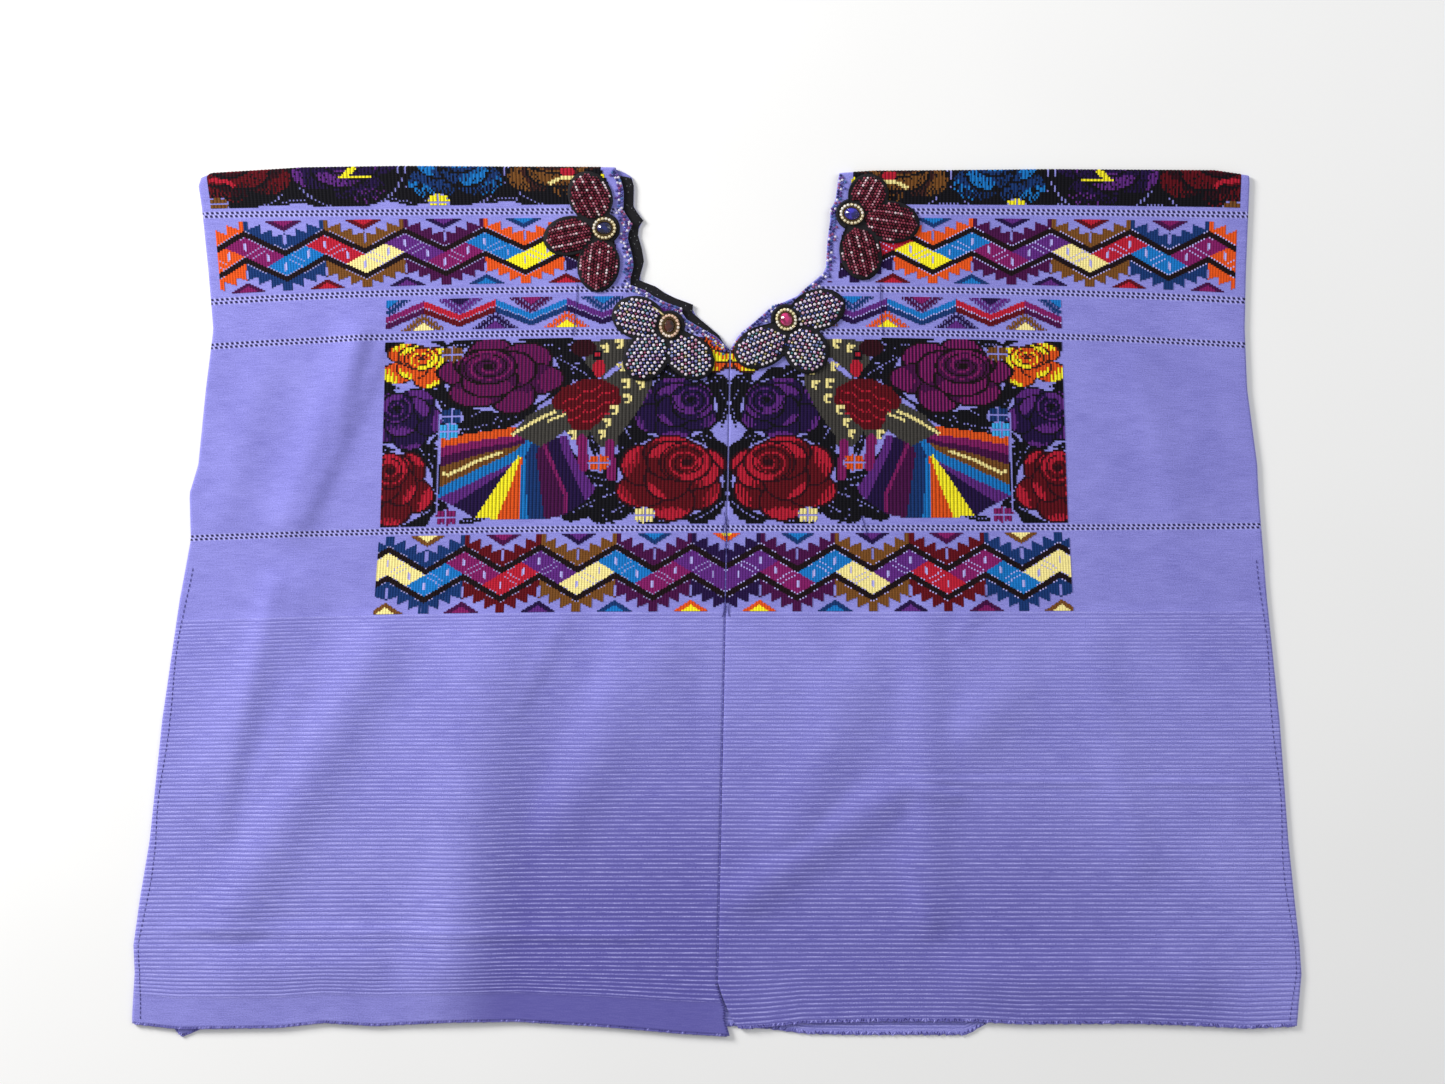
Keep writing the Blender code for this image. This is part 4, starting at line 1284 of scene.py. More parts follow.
    def leaf(self, s0, v0, s1, v1, width, bend):
        """A black leaf: a saw-edged bow between two points, with dotted veins of ground."""
        run, along, across = beside_line(self.s, self.v, s0, v0, s1, v1)
        t = np.clip(along / run, 0.0, 1.0)
        across = across - bend * 4.0 * t * (1.0 - t)
        saw = (along / LEAF_TOOTH + 0.13 * width) % 1.0
        half = width / 2.0 * np.sin(np.pi * t**0.8) ** 0.6 * (0.80 + 0.26 * saw)
        blade = (np.abs(across) < half) & (along > 0.0) & (along < run)
        self.lay(blade, "black")
        away = np.abs(across)
        dots = (along % LEAF_DOT) < LEAF_DOT / 2.0
        midrib = (away < LEAF_MIDRIB) & dots & (t > 0.12) & (t < 0.88)
        slant = np.abs(((along - 1.2 * away) % LEAF_VEIN) - LEAF_VEIN / 2.0) < 0.45
        veins = slant & (away < half * 0.7) & (away > 2.5) & (width > LEAF_VEINED)
        self.lay(blade & (midrib | veins), "ground")

    def floret(self, s, v, yarn):
        """A small flower of eight petals with a cross of ground."""
        ds, dv = self.s - s, (self.v - v) * FLORET_SQUASH
        angle = np.arctan2(dv, ds)
        petals = np.hypot(ds, dv) < FLORET_RADIUS * (0.88 + 0.12 * np.cos(8.0 * angle))
        self.lay(np.hypot(ds, dv) < FLORET_GROUND, "ground")
        self.lay(petals & (np.abs(ds) > 0.7) & (np.abs(dv) > 1.0), yarn)

    def triangle(self, s, v, half_base, height, outer, inner):
        """A small two-toned triangle on a band's edge; a negative height points down."""
        up = (self.v - v) * np.sign(height)
        share = 1.0 - up / abs(height)
        away = np.abs(self.s - s) / half_base
        self.lay((up > 0.0) & (away < share), outer)
        self.lay((up > 0.0) & (away < (share - 0.42) * 0.95), inner)


def wave(s, peak, period):
    """A zigzag of -1 to 1 with a peak at the given place."""
    return 4.0 * np.abs((s - peak) / period - np.floor((s - peak) / period) - 0.5) - 1.0


# The wide zigzag, as shares of its band's height: half its rise, half the way between its two
# lines, a line's thickness, how far a field reaches past a line at the root and the tip of each
# tooth, counted from the block on each peak, and where the stem under the block starts and ends
ZIGZAG_RISE = 0.146
ZIGZAG_GAP = 0.146
ZIGZAG_LINE = 0.074
TEETH = ((0.055, 0.205), (0.075, 0.225), (0.110, 0.245))
STEM = (0.085, 0.225)

# As shares of its period: the block on each peak, and how far the middle of each piece of the ribbon
# lies past the middle of its leg
BLOCK = 0.115
RIBBON_SHIFT = 0.11

# A triangle on its edges: half its base as a share of the period, and its height as one of the band's
TRIANGLE = (0.235, 0.145)


def zigzag_band(pattern, low, high, peak, period, ribbon, fields, tops, bases):
    """The wide zigzag: a ribbon of slanted pieces between two black lines, in saw-edged fields.

    Both lines run along one zigzag, above and below. A field follows the outside of a line from peak
    to peak in teeth; a small triangle stands in each gap of the band's edges.
    """
    s, v = pattern.s, pattern.v
    height = high - low
    rise, gap, line = height * ZIGZAG_RISE, height * ZIGZAG_GAP, height * ZIGZAG_LINE
    slope = 4.0 * rise / period
    middle = (low + high) / 2.0
    off = v - middle - rise * wave(s, peak, period)
    dotted = pattern.every_other()
    half = np.floor((s - peak) / (period / 2.0)).astype(int)
    valley = np.floor((s - peak) / period).astype(int)
    for up in (1.0, -1.0):
        start = peak if up > 0.0 else peak + period / 2.0
        from_top = np.abs((s - start + period / 2.0) % period - period / 2.0)
        tooth = (from_top - BLOCK / 2.0 * period) / (period * (1.0 - BLOCK) / 6.0)
        root, tip = (np.array(TEETH)[np.clip(tooth.astype(int), 0, 2), k] * height for k in (0, 1))
        reach = np.where(tooth < 0.0, height, root + (tip - root) * (tooth % 1.0))
        past = up * off - gap - line
        field = (past > -line) & (past < reach) & (v > low) & (v < high)
        for index in range(valley.min(), valley.max() + 1):
            yarn = fields[min(max(index + 1, 0), len(fields) - 1)]
            pattern.lay(field & (valley == index), yarn)
        stem = from_top > period / 2.0 - 1.2
        pattern.lay(stem & (past > STEM[0] * height) & (past < STEM[1] * height), "ground")
    near_end = peak + half * period / 2.0
    inward = middle + rise * wave(near_end, peak, period)
    inward = inward + np.where(half % 2, -slope, slope) * (s - near_end)
    leg = np.where(np.abs(v - inward) < gap, half - 1, half)
    between = np.abs(off) < gap
    own_slope = np.where(leg % 2, slope, -slope)
    shift = period * RIBBON_SHIFT
    centre = peak + (leg + 0.5) * period / 2.0 + shift
    own_line = middle + own_slope * (s - centre + shift)
    cross = v - middle - own_slope * shift + own_slope * (s - centre)
    for index in range(leg.min(), leg.max() + 1):
        pattern.lay(between & (leg == index), ribbon[min(max(index + 2, 0), len(ribbon) - 1)])
    # The rails, marks and dotted edges are in the weave; their pale colour is a painted highlight on their
    # threads
    rails = (np.abs(np.abs(cross) - 2.3) < 0.6) & dotted & (np.abs(s - centre) < period * 0.12)
    marks = (np.abs(np.abs(s - centre) - period * 0.145) < 1.0) & (np.abs(v - own_line) < 2.7)
    pattern.lay(between & (rails | marks), "pale")
    edge = np.abs(np.abs(off) - gap - line / 2.0)
    pattern.lay((edge < line / 2.0 + 0.9) & dotted, "pale")
    pattern.lay(edge < line / 2.0 + 0.3, "soot")
    half_base, tall = period * TRIANGLE[0], height * TRIANGLE[1]
    for edge, first, rise, tones in ((high, -0.5, -tall, tops), (low, 0.0, tall, bases)):
        for index, pair in enumerate(tones):
            pattern.triangle(peak + (index + first) * period, edge, half_base, rise, *pair)


# The narrow zigzag: half its rise as a share of the band's height, its corners and the caps on them
# as shares of the period and the height, a chevron's width, and how far its lines reach down and up
NARROW_RISE = 0.235
CORNER = (0.32, 0.56)
CAP = (0.15, 0.24)
CHEVRON = 2.2
DOUBLE_LINE = (4.6, 4.9)


def narrow_band(pattern, low, high, peak, period, lines, tops, bases):
    """The narrow zigzag: a double line, with a lattice in each of its corners."""
    s, v = pattern.s, pattern.v
    height = high - low
    off = v - (low + high) / 2.0 - height * NARROW_RISE * wave(s, peak, period)
    half = np.floor((s - peak) / (period / 2.0)).astype(int)
    corners = [(peak + (i - 0.5) * period, high, -1.0, *pair) for i, pair in enumerate(tops)]
    corners += [(peak + i * period, low, 1.0, *pair) for i, pair in enumerate(bases)]
    for place, edge, up, yarn, cap in corners:
        away, rise = np.abs(s - place), (v - edge) * up
        (wide, tall), (cap_wide, cap_tall) = CORNER, CAP
        corner = (rise > 0.0) & (rise < (1.0 - away / (period * wide)) * height * tall)
        chevron = np.floor((rise + away * height * tall / (period * wide)) / CHEVRON)
        holes = (chevron % 2 == 1) & (np.floor(away / pattern.width) % 2 == 0)
        pattern.lay(corner & ~holes, yarn)
        capped = (rise > 0.0) & (rise < (1.0 - away / (period * cap_wide)) * height * cap_tall)
        pattern.lay(capped, cap)
    for index in range(half.min(), half.max() + 1):
        upper, lower = lines[min(max(index + 2, 0), len(lines) - 1)]
        pattern.lay((half == index) & (off > -DOUBLE_LINE[0]) & (off <= 0.0), lower)
        pattern.lay((half == index) & (off > 0.0) & (off < DOUBLE_LINE[1]), upper)
    # The dotted middle line is in the weave; its pale colour is a painted highlight on its threads
    pattern.lay((np.abs(off) < 0.6) & pattern.every_other(), "pale")


# Motifs of the bird band. Roses: s, v, half sizes, tones, eye's shift, hand, petals, start
BIRD_ROSES = (
    (0, 207, 36, 26, "yellow", (2, 4), 1, 5, 0.4), (249, 192, 29, 19, "yellow", (-4, 5), 1, 4, 2.6),
    (256, 149, 29, 25, "violet", (8, 9), -1, 5, 2.0), (264, 93, 31, 30, "red", (4, 14), 1, 5, 1.0),
    (181, 182, 47, 29, "magenta", (11, 7), 1, 6, 0.2),
    (43, 154, 34, 25, "violet", (-13, 7), -1, 6, 0.5), (45, 99, 43, 33, "red", (-12, 12), 1, 6, 2.6),
)
# Leaves: from s and v to s and v, width, bend
BIRD_LEAVES = (
    (262, 207, 228, 200, 8, 0), (238, 191, 226, 168, 12, 0), (274, 176, 236, 170, 9, 0),
    (276, 124, 244, 130, 12, 0), (210, 147, 176, 158, 10, 2), (230, 205, 186, 209, 8, 1),
    (250, 180, 230, 152, 24, 2), (231, 164, 214, 151, 12, 0), (222, 138, 158, 152, 18, -2),
    (256, 136, 231, 104, 24, 2), (243, 114, 229, 84, 14, 0), (236, 85, 219, 71, 11, 0),
    (266, 61, 229, 79, 14, -2), (172, 204, 122, 209, 13, -1), (148, 198, 122, 208, 12, 0),
    (146, 198, 104, 173, 21, 3), (164, 148, 148, 168, 10, 2), (127, 126, 111, 103, 6, -3),
    (110, 136, 102, 114, 8, 0), (120, 104, 80, 96, 10, -2), (130, 67, 70, 92, 22, 3),
    (108, 66, 64, 88, 18, -3), (92, 148, 78, 106, 19, 5), (86, 148, 54, 112, 22, -5),
    (62, 188, 40, 176, 12, 2), (14, 188, 2, 156, 17, 0), (0, 162, 6, 138, 5, 0),
    (24, 141, 0, 102, 20, -3), (6, 108, 0, 88, 9, 0), (30, 64, 0, 84, 14, -3), (60, 63, 40, 66, 6, 0),
    (212, 65, 190, 68, 5, 0),
)
BIRD_FLORETS = (
    (220.5, 200, "brown"), (220, 150, "navy"), (222, 138, "sky"), (222, 69, "magenta"),
    (102, 111, "orange"), (65, 69, "cream"),
)
# The tail: the yarn above each line and the line itself, from the bird's back outwards
TAIL = (
    (None, ((160, 141), (171, 140), (199, 136.5), (227.5, 132.5))),
    ("orange", ((160, 136), (171, 133.5), (199, 130), (227.5, 125.5))),
    ("magenta", ((160, 132), (171, 128), (199, 124), (227.5, 118))),
    ("plum", ((160, 128), (171, 124.5), (199, 118.5), (227.5, 109.5))),
    ("brown", ((154, 134), (171, 119.5), (199, 107), (227.5, 93))),
    ("blue", ((152, 131), (166, 114), (199, 98), (229, 84))),
    ("violet", ((160, 118), (168, 111), (190, 96), (217, 78.5))),
    ("indigo", ((160, 119), (166, 117), (180, 98), (199, 68))),
    ("yellow", ((164, 118), (164, 116.5), (172, 92), (182, 67))),
    ("orange", ((162, 118), (163, 116.5), (163.5, 90), (164, 66))),
    ("blue", ((152, 131), (160.5, 122), (159.5, 95), (157, 66))),
    ("navy", ((148, 131), (152, 118), (148, 92), (144, 66))),
    ("plum", ((143, 129), (141, 118), (131, 92), (127, 70))),
    ("indigo", ((134, 132), (131, 120), (120, 98), (112, 80))),
    ("violet", ((128, 133), (124, 120), (112, 101), (104, 90))),
)
# The bird's outline and its wing's, the hooks of cream on its breast, and its lines before and after
# them: yarn, width and points
BIRD_BODY = [
    (103, 209), (71, 209), (60, 190), (61, 174), (67, 160), (77, 145), (87, 131), (88, 123),
    (101, 123), (110, 136), (112, 129), (122, 130), (130, 137), (136, 132), (149, 124), (171, 136),
    (160, 149), (142, 158), (130, 168), (103, 177), (93, 193),
]
BIRD_WING = [
    (141, 161), (133, 171), (116, 178), (101, 178), (88, 171), (85, 159), (94, 153), (101, 145),
    (109, 137.5), (122, 136.5), (127, 144), (129, 152), (139, 155),
]
BIRD_HOOKS = (
    (97, 202), (86, 206), (84, 187), (80, 174), (68, 173), (79, 162), (89, 153), (94, 143),
    (98, 134), (122, 133), (72, 196), (66, 184),
)
TAIL_LINES = (
    ("cream", 2.6, ((225, 104), (221, 103), (198, 114), (180, 120))),
    ("magenta", 3.0, ((146, 126), (138, 108), (127, 84), (128, 72))),
    ("blue", 5.0, ((163, 118), (154, 136))),
)
BIRD_LINES = (
    ("cream", 2.4, ((171, 134.5), (157, 143), (146, 149), (138, 152))),
    ("cream", 2.0, ((143, 145), (130, 150))),
    ("magenta", 8.0, ((116, 130), (114, 108))),
    ("magenta", 7.5, ((94, 126), (91.5, 100))),
)


def bird_band(pattern, low, high):
    """The bird with its long tail among roses, leaves and small flowers."""
    s, v = pattern.s, pattern.v
    for rose_s, rose_v, half_s, half_v, *_ in BIRD_ROSES[1:]:
        about = np.arctan2(v - rose_v, s - rose_s)
        reach = pattern.oval(rose_s, rose_v, half_s + 6.5, half_v + 5.5)
        pattern.lay(reach < 1.0 + 0.2 * np.sin(about * 5.0 + rose_s), "black")
    for leaf in BIRD_LEAVES:
        pattern.leaf(*leaf)
    for (_, above), (yarn, below) in zip(TAIL, TAIL[1:]):
        pattern.lay(pattern.inside(above + below[::-1]), yarn)
    pattern.lay_strokes(TAIL_LINES)
    for rose_s, rose_v, half_s, half_v, *style in BIRD_ROSES:
        pattern.lay(pattern.oval(rose_s, rose_v, half_s + 1.5, half_v + 1.5) < 0.92, "ground")
        pattern.rose(rose_s, rose_v, half_s, half_v, *style)
    pattern.lay((np.abs(s - 230.0) < 1.2) & (v < 152.0), "ground")
    pattern.lay(pattern.inside(BIRD_BODY) | (pattern.oval(104, 196, 11, 12.5) < 1.0), "grey")
    pattern.lay(pattern.inside(BIRD_WING), "maroon")
    scallops = np.abs((s * 0.45 + v + 3.0 * np.abs(np.sin(s * 0.22))) % 8.0 - 4.0) < 0.75
    scallops &= (np.floor(s / COARSE_STITCH[0]) % 4 != 0) & (pattern.oval(111, 158, 22, 16, -20) < 1.0)
    pattern.lay(scallops, "red")
    pattern.lay(pattern.oval(116, 203, 10, 7) < 1.0, "wine")
    pattern.lay(np.maximum(np.abs(s - 105.5), np.abs(v - 197)) < 3.4, "black")
    pattern.lay(np.maximum(np.abs(s - 105.0), np.abs(v - 197)) < 1.7, "red")
    pattern.lay(pattern.oval(103.5, 186.5, 5.0, 7.0) < 1.0, "red")
    pattern.lay(pattern.stroke([(98, 180), (82, 193)], 4.0), "ground")
    for hook_s, hook_v in BIRD_HOOKS:
        foot = (hook_s, hook_v - 2)
        pattern.lay_strokes((
            ("cream", 2.9, ((hook_s + 4, hook_v + 2), (hook_s, hook_v + 2.4), foot)),
            ("cream", 1.8, (foot, (hook_s + 2.5, hook_v - 2.8))),
        ))
    pattern.lay_strokes(BIRD_LINES)
    for floret in BIRD_FLORETS:
        pattern.floret(*floret)
    pattern.bare_ends(low, high)


# The shoulder band: roses that lie over the fold, their leaves and small flowers
SHOULDER_ROSES = (
    (388, 351, 42, 32, "wine", (6, 8), 1, 4, 5.2), (301, 351, 43, 32, "violet", (4, 8), -1, 4, 4.4),
    (218, 351, 42, 32, "blue", (-4, 8), 1, 4, 5.4), (134, 351, 42, 32, "brown", (4, 8), -1, 4, 4.2),
    (52, 351, 38, 32, "red", (4, 8), 1, 4, 5.0),
)
# Lines laid over the roses: yarn, width and points
SHOULDER_LINES = (
    ("cream", 2.4, ((142, 336), (133, 340), (119, 341))),
    ("yellow", 4.5, ((304, 342), (297, 347))),
    ("red", 3.4, ((409, 343), (397, 341.5), (392, 338))),
    ("yellow", 1.8, ((308, 341), (284, 341))),
)


def shoulder_band(pattern, low, high):
    """Roses over the shoulder fold, on a bed of black leaves with dotted edges."""
    s, v = pattern.s, pattern.v
    fold = np.where(v > SHOULDER_LINE, 2.0 * SHOULDER_LINE - v, v)
    dotted = pattern.every_other()
    shore = 320.0 + 2.0 * np.sin(s * 0.076) + 1.2 * np.sin(s * 0.19)
    pattern.lay(fold > shore, "black")
    pattern.lay((np.abs(fold - shore - 2.4) < 0.8) & dotted & (np.sin(s * 0.15) > 0.1), "ground")
    for rose_s, rose_v, half_s, half_v, *style in SHOULDER_ROSES:
        rim = np.abs(pattern.oval(rose_s, rose_v, half_s + 2.6, half_v + 2.0) - 0.97) < 0.05
        pattern.lay(rim & dotted, "ground")
        pattern.rose(rose_s, rose_v, half_s, half_v, *style)
        petals = pattern.oval(rose_s, rose_v, half_s, half_v) < 1.05
        speck = np.abs(np.sin(s * 12.9898 + np.floor(v / COARSE_STITCH[1]) * 78.233)) * 43.7 % 1.0
        pattern.lay(petals & (speck < np.maximum(0.15, (343.0 - fold) / 22.0)), "black")
    pattern.floret(406, 322.5, "brown")
    pattern.floret(231, 322, "yellow")
    pattern.lay_strokes(SHOULDER_LINES)
    pattern.lay(pattern.oval(128, 345, 6.0, 3.4) < 1.0, "red")
    pattern.lay(pattern.oval(98.5, 343, 2.4, 2.6) < 1.0, "yellow")
    pattern.bare_ends(low, high)
    pattern.lay(s > SHOULDER_END, "ground")


# The pairs of yarns in the small triangles, deep and bright
PLUM, RED, NAVY, INDIGO, BROWN, ORANGE = (
    ("plum", "magenta"), ("maroon", "red"), ("navy", "blue"), ("indigo", "violet"),
    ("brown", "cream"), ("orange", "yellow"),
)


def upper_zigzag(pattern, low, high):
    """The wide zigzag that runs to the sides."""
    zigzag_band(
        pattern, low, high, 68.0, 63.9,
        ribbon="violet red violet red yellow blue magenta violet cream red blue magenta orange".split(),
        fields="orange indigo orange plum brown navy orange".split(),
        tops=(RED, NAVY, NAVY, INDIGO, RED, PLUM),
        bases=(PLUM, RED, NAVY, INDIGO, RED, PLUM),
    )
    pattern.lay(pattern.s > ZIGZAG_END, "ground")


def narrow_zigzag(pattern, low, high):
    """The narrow zigzag with its lattice corners."""
    violet, blue, red, magenta = (tones[::-1] for tones in (INDIGO, NAVY, RED, PLUM))
    narrow_band(
        pattern, low, high, 72.5, 57.3,
        lines=[violet] * 4 + [blue] * 2 + [red] * 2 + [magenta] * 2,
        tops=(NAVY, NAVY, PLUM, violet, NAVY),
        bases=(BROWN, ORANGE, INDIGO, BROWN),
    )


def lower_zigzag(pattern, low, high):
    """The wide zigzag under the bird band."""
    zigzag_band(
        pattern, low, high, 26.5, 59.8,
        ribbon="violet violet magenta blue cream violet red magenta blue cream".split(),
        fields="indigo plum brown maroon navy".split(),
        tops=(ORANGE, NAVY, INDIGO, PLUM, BROWN),
        bases=(ORANGE, NAVY, INDIGO, PLUM, BROWN),
    )


# Each band: its name, its top and bottom weft line, whether it runs to the sides, its pattern, how
# wide and high its stitches are, and how much shade is painted between its ribs, from 0 to 1
BANDS = (
    ("shoulder", 383.2, 316.8, True, shoulder_band, COARSE_STITCH, 1.0),
    ("upper_zigzag", 306.0, 254.5, True, upper_zigzag, FINE_STITCH, 0.6),
    ("narrow_zigzag", 243.5, 219.5, False, narrow_zigzag, FINE_STITCH, 0.6),
    ("bird", 211.0, 62.0, False, bird_band, COARSE_STITCH, 1.0),
    ("lower_zigzag", 54.4, -8.0, False, lower_zigzag, FINE_STITCH, 0.45),
)

# The stitches: the lift of every other line of points, how deep they are rooted, how far they keep
# from the seam, from the neck edge in the bands above a line, and from the edge in the bands below
# it, and how many times as large they are on the back
RIB_LIFT = (0.16, 0.48)
STITCH_ROOT = -0.25
SEAM_CLEAR = 0.55
NECK_BARE = 10.5
NECK_BARE_END = 215.0
EDGE_CLEAR = 0.35
BACK_STITCH = 2.2


def stitch_faces(filled, flip):
    """Top, bottom and side quads of the filled stitches, and the row of the stitch of each."""
    rows, columns = filled.shape
    wide = columns + 1
    top = np.arange((rows + 1) * wide).reshape(rows + 1, wide)
    low = top + top.size
    a, b, c, d = top[:-1, :-1], top[:-1, 1:], top[1:, 1:], top[1:, :-1]
    order = [a, b, c, d] if flip else [a, d, c, b]
    stitch = np.arange(rows * columns).reshape(rows, columns)
    faces = [np.stack(order, axis=-1)[filled]]
    faces.append((np.stack(order[::-1], axis=-1) + top.size)[filled])
    owners = [stitch[filled], stitch[filled]]
    padded = np.pad(filled, 1)
    beside = (
        (padded[:-2, 1:-1], a, b),
        (padded[1:-1, 2:], b, c),
        (padded[2:, 1:-1], c, d),
        (padded[1:-1, :-2], d, a),
    )
    for neighbour, one, other in beside:
        open_side = filled & ~neighbour
        first, second = (one, other) if flip else (other, one)
        side = np.stack([second, first, low.ravel()[first], low.ravel()[second]], axis=-1)
        faces.append(side[open_side])
        owners.append(stitch[open_side])
    return np.vstack(faces), np.concatenate(owners)


def add_brocade(length, band, finish, back):
    """One band of one length's front or back: closed raised stitches on a grid of ribs and rows."""
    name, high, low, to_sides, draw_band, stitch, groove = band
    over = name == "shoulder"
    width, height = (size * (BACK_STITCH if back else 1.0) for size in stitch)
    bottom_v = length.mirror - high if back else low
    top_v = length.mirror - low if back or over else high
    v = np.linspace(top_v, bottom_v, int(round((top_v - bottom_v) / height)) + 1)
    s = np.arange(0.0, PATTERN_REACH[to_sides] + 1e-6, width)
    middle_v = (v[:-1] + v[1:]) / 2.0
    middle_s = (s[:-1] + s[1:]) / 2.0
    shown_v = SHOULDER_LINE + (middle_v - length.mirror / 2.0) if over else length.front_line(middle_v)
    pattern = Pattern(middle_s[None], shown_v[:, None], width)
    draw_band(pattern, low, high)
    filled = pattern.yarn > 0
    scale = length.end_scale(v, to_sides)[:, None]
    x = length.axis(v)[:, None] + length.side * (s[None] * scale + SEAM_CLEAR)
    over_front = v < length.top
    front_v = np.minimum(v, length.turn)
    back_v = length.turn - np.maximum(v - length.turn - FOLD_ARC, 0.0)
    front_edge = read_table(length.front_chain, front_v)
    shift = BACK_NECK_SHIFT[0] * neck_fade(length.shoulder, back_v)
    back_edge = read_table(length.back_chain, back_v) + shift
    edge = np.where(over_front, front_edge, back_edge)[:, None]
    clear = length.side * (x - edge) > (NECK_BARE if low > NECK_BARE_END else EDGE_CLEAR)
    filled &= clear[:-1, :-1] & clear[1:, :-1]
    odd = np.arange(len(s)) % 2
    outer = length.place(v[:, None], x=x, lift=np.array(RIB_LIFT)[odd])
    inner = length.place(v[:, None], x=x, lift=STITCH_ROOT)
    faces, owners = stitch_faces(filled, length.side < 0)
    points = np.vstack([outer.reshape(-1, 3), inner.reshape(-1, 3)])
    # Painted shade between the ribs: 1 on each rib's crest, 1 - groove on the points between
    phase = np.tile(1.0 - groove * (1.0 - odd), 2 * len(v))
    uv = np.column_stack([points[:, 0], np.tile(np.repeat(v, len(s)), 2)])
    used, index = np.unique(faces, return_inverse=True)
    colours = YARN_COLOURS[pattern.yarn.ravel()[owners]]
    layer = "back_" if back else ""
    return add_piece(
        f"{layer}{name}_{length.name}", points[used], [index.reshape(-1, 4)], finish,
        smooth=False, uv=uv[used], values={"rib": phase[used]}, colours=colours,
    )


# Sewing: rolled hems, stitches and loose thread
THREAD_DARK = (0.050, 0.042, 0.200)
THREAD_DEEP = (0.120, 0.112, 0.400)
THREAD_LIGHT = (0.400, 0.385, 0.860)
HEM_ROLL = (0.170, 0.160, 0.470)
CREAM = (0.72, 0.60, 0.28)
TUBE_SIDES = 6


def tube(path, radius):
    """Points and faces of a round thread along a path, with flat ends."""
    path = np.asarray(path, float)
    way = np.gradient(path, axis=0)
    way /= np.linalg.norm(way, axis=1)[:, None]
    out = np.column_stack([way[:, 1], -way[:, 0], np.zeros(len(way))])
    out /= np.linalg.norm(out, axis=1)[:, None]
    up = np.cross(out, way)
    angle = np.linspace(0.0, 2.0 * np.pi, TUBE_SIDES, endpoint=False)
    ring = np.cos(angle)[None, :, None] * out[:, None] + np.sin(angle)[None, :, None] * up[:, None]
    points = (path[:, None] + np.broadcast_to(radius, len(path))[:, None, None] * ring).reshape(-1, 3)
    ends = end_fans(TUBE_SIDES, len(points) - TUBE_SIDES)
    return points, grid(0, len(path), TUBE_SIDES, closed=True), ends


def add_threads(name, paths, radius, colours, finish):
    """Round threads along paths, each in its own colour."""
    points, quads, ends, quad_shades, end_shades, start = [], [], [], [], [], 0
    for path, colour in zip(paths, colours):
        made, sides, caps = tube(path, radius)
        points.append(made)
        quads.append(sides + start)
        ends.append(caps + start)
        quad_shades += [colour] * len(sides)
        end_shades += [colour] * len(caps)
        start += len(made)
    points = np.vstack(points)
    return add_piece(
        name, points, [np.vstack(quads), np.vstack(ends)], finish,
        uv=points[:, :2], values={"rib": np.ones(len(points))}, colours=quad_shades + end_shades,
    )


# A stitch: share of its length, of its width and of its height at each of its three sections
STITCH_SHAPE = ((-1.0, 0.55, 0.0), (0.0, 1.0, 1.0), (1.0, 0.55, 0.0))
STITCH_DEPTH = 0.25

# Half the length, half the width and the rise of the stitches of each seam
CENTRE_STITCH = (0.85, 0.26, 0.22)
SIDE_STITCH = (1.35, 0.28, 0.25)
VENT_STITCH = (1.1, 0.36, 0.3)


def crossing(draw, spread, count):
    """Directions of stitches across a seam, each turned a little."""
    return np.column_stack([np.ones(count), draw.uniform(-spread, spread, count), np.zeros(count)])


def add_stitches(name, centres, ways, size, colours, finish):
    """Short stitches that rise in their middle: size is half the length, half the width, the rise."""
    centres, ways = np.asarray(centres, float), np.asarray(ways, float)
    half_length, half_width, rise = size
    ways = ways / np.linalg.norm(ways, axis=1)[:, None]
    across = np.column_stack([-ways[:, 1], ways[:, 0], np.zeros(len(ways))])
    up = np.array([0.0, 0.0, 1.0])
    rings = []
    for along, wide, high in STITCH_SHAPE:
        middle = centres + ways * half_length * along
        side = across * half_width * wide
        top = middle + up * rise * (0.3 + 0.7 * high)
        rings += [middle - side, middle - up * STITCH_DEPTH, middle + side, top]
    points = np.stack(rings, axis=1).reshape(-1, 3)
    ring = np.arange(4)
    quads = np.vstack([grid(0, 3, 4, closed=True), [ring[::-1]], [ring + 8]])
    start = (np.arange(len(centres)) * 12)[:, None, None]
    faces = (quads[None] + start).reshape(-1, 4)
    shades = np.repeat(np.broadcast_to(colours, (len(centres), 3)), len(quads), axis=0)
    return add_piece(
        name, points, [faces], finish,
        smooth=False, uv=points[:, :2], values={"rib": np.ones(len(points))}, colours=shades,
    )


# The hems: points along the roll, its radius and its lift; and for the left and the rougher right one
# the waver of the roll, the step from stitch to stitch, how far up they sit at most, half their
# length, and their lean or, where it varies, None
HEM_STEPS = 160
HEM_RADIUS = 0.75
HEM_LIFT = -0.45
HEM_LEAN = 1.1
HEMS = {-1: (0.25, 2.3, 0.5, 1.2, 0.55), 1: (0.55, 1.9, 1.4, 1.5, None)}


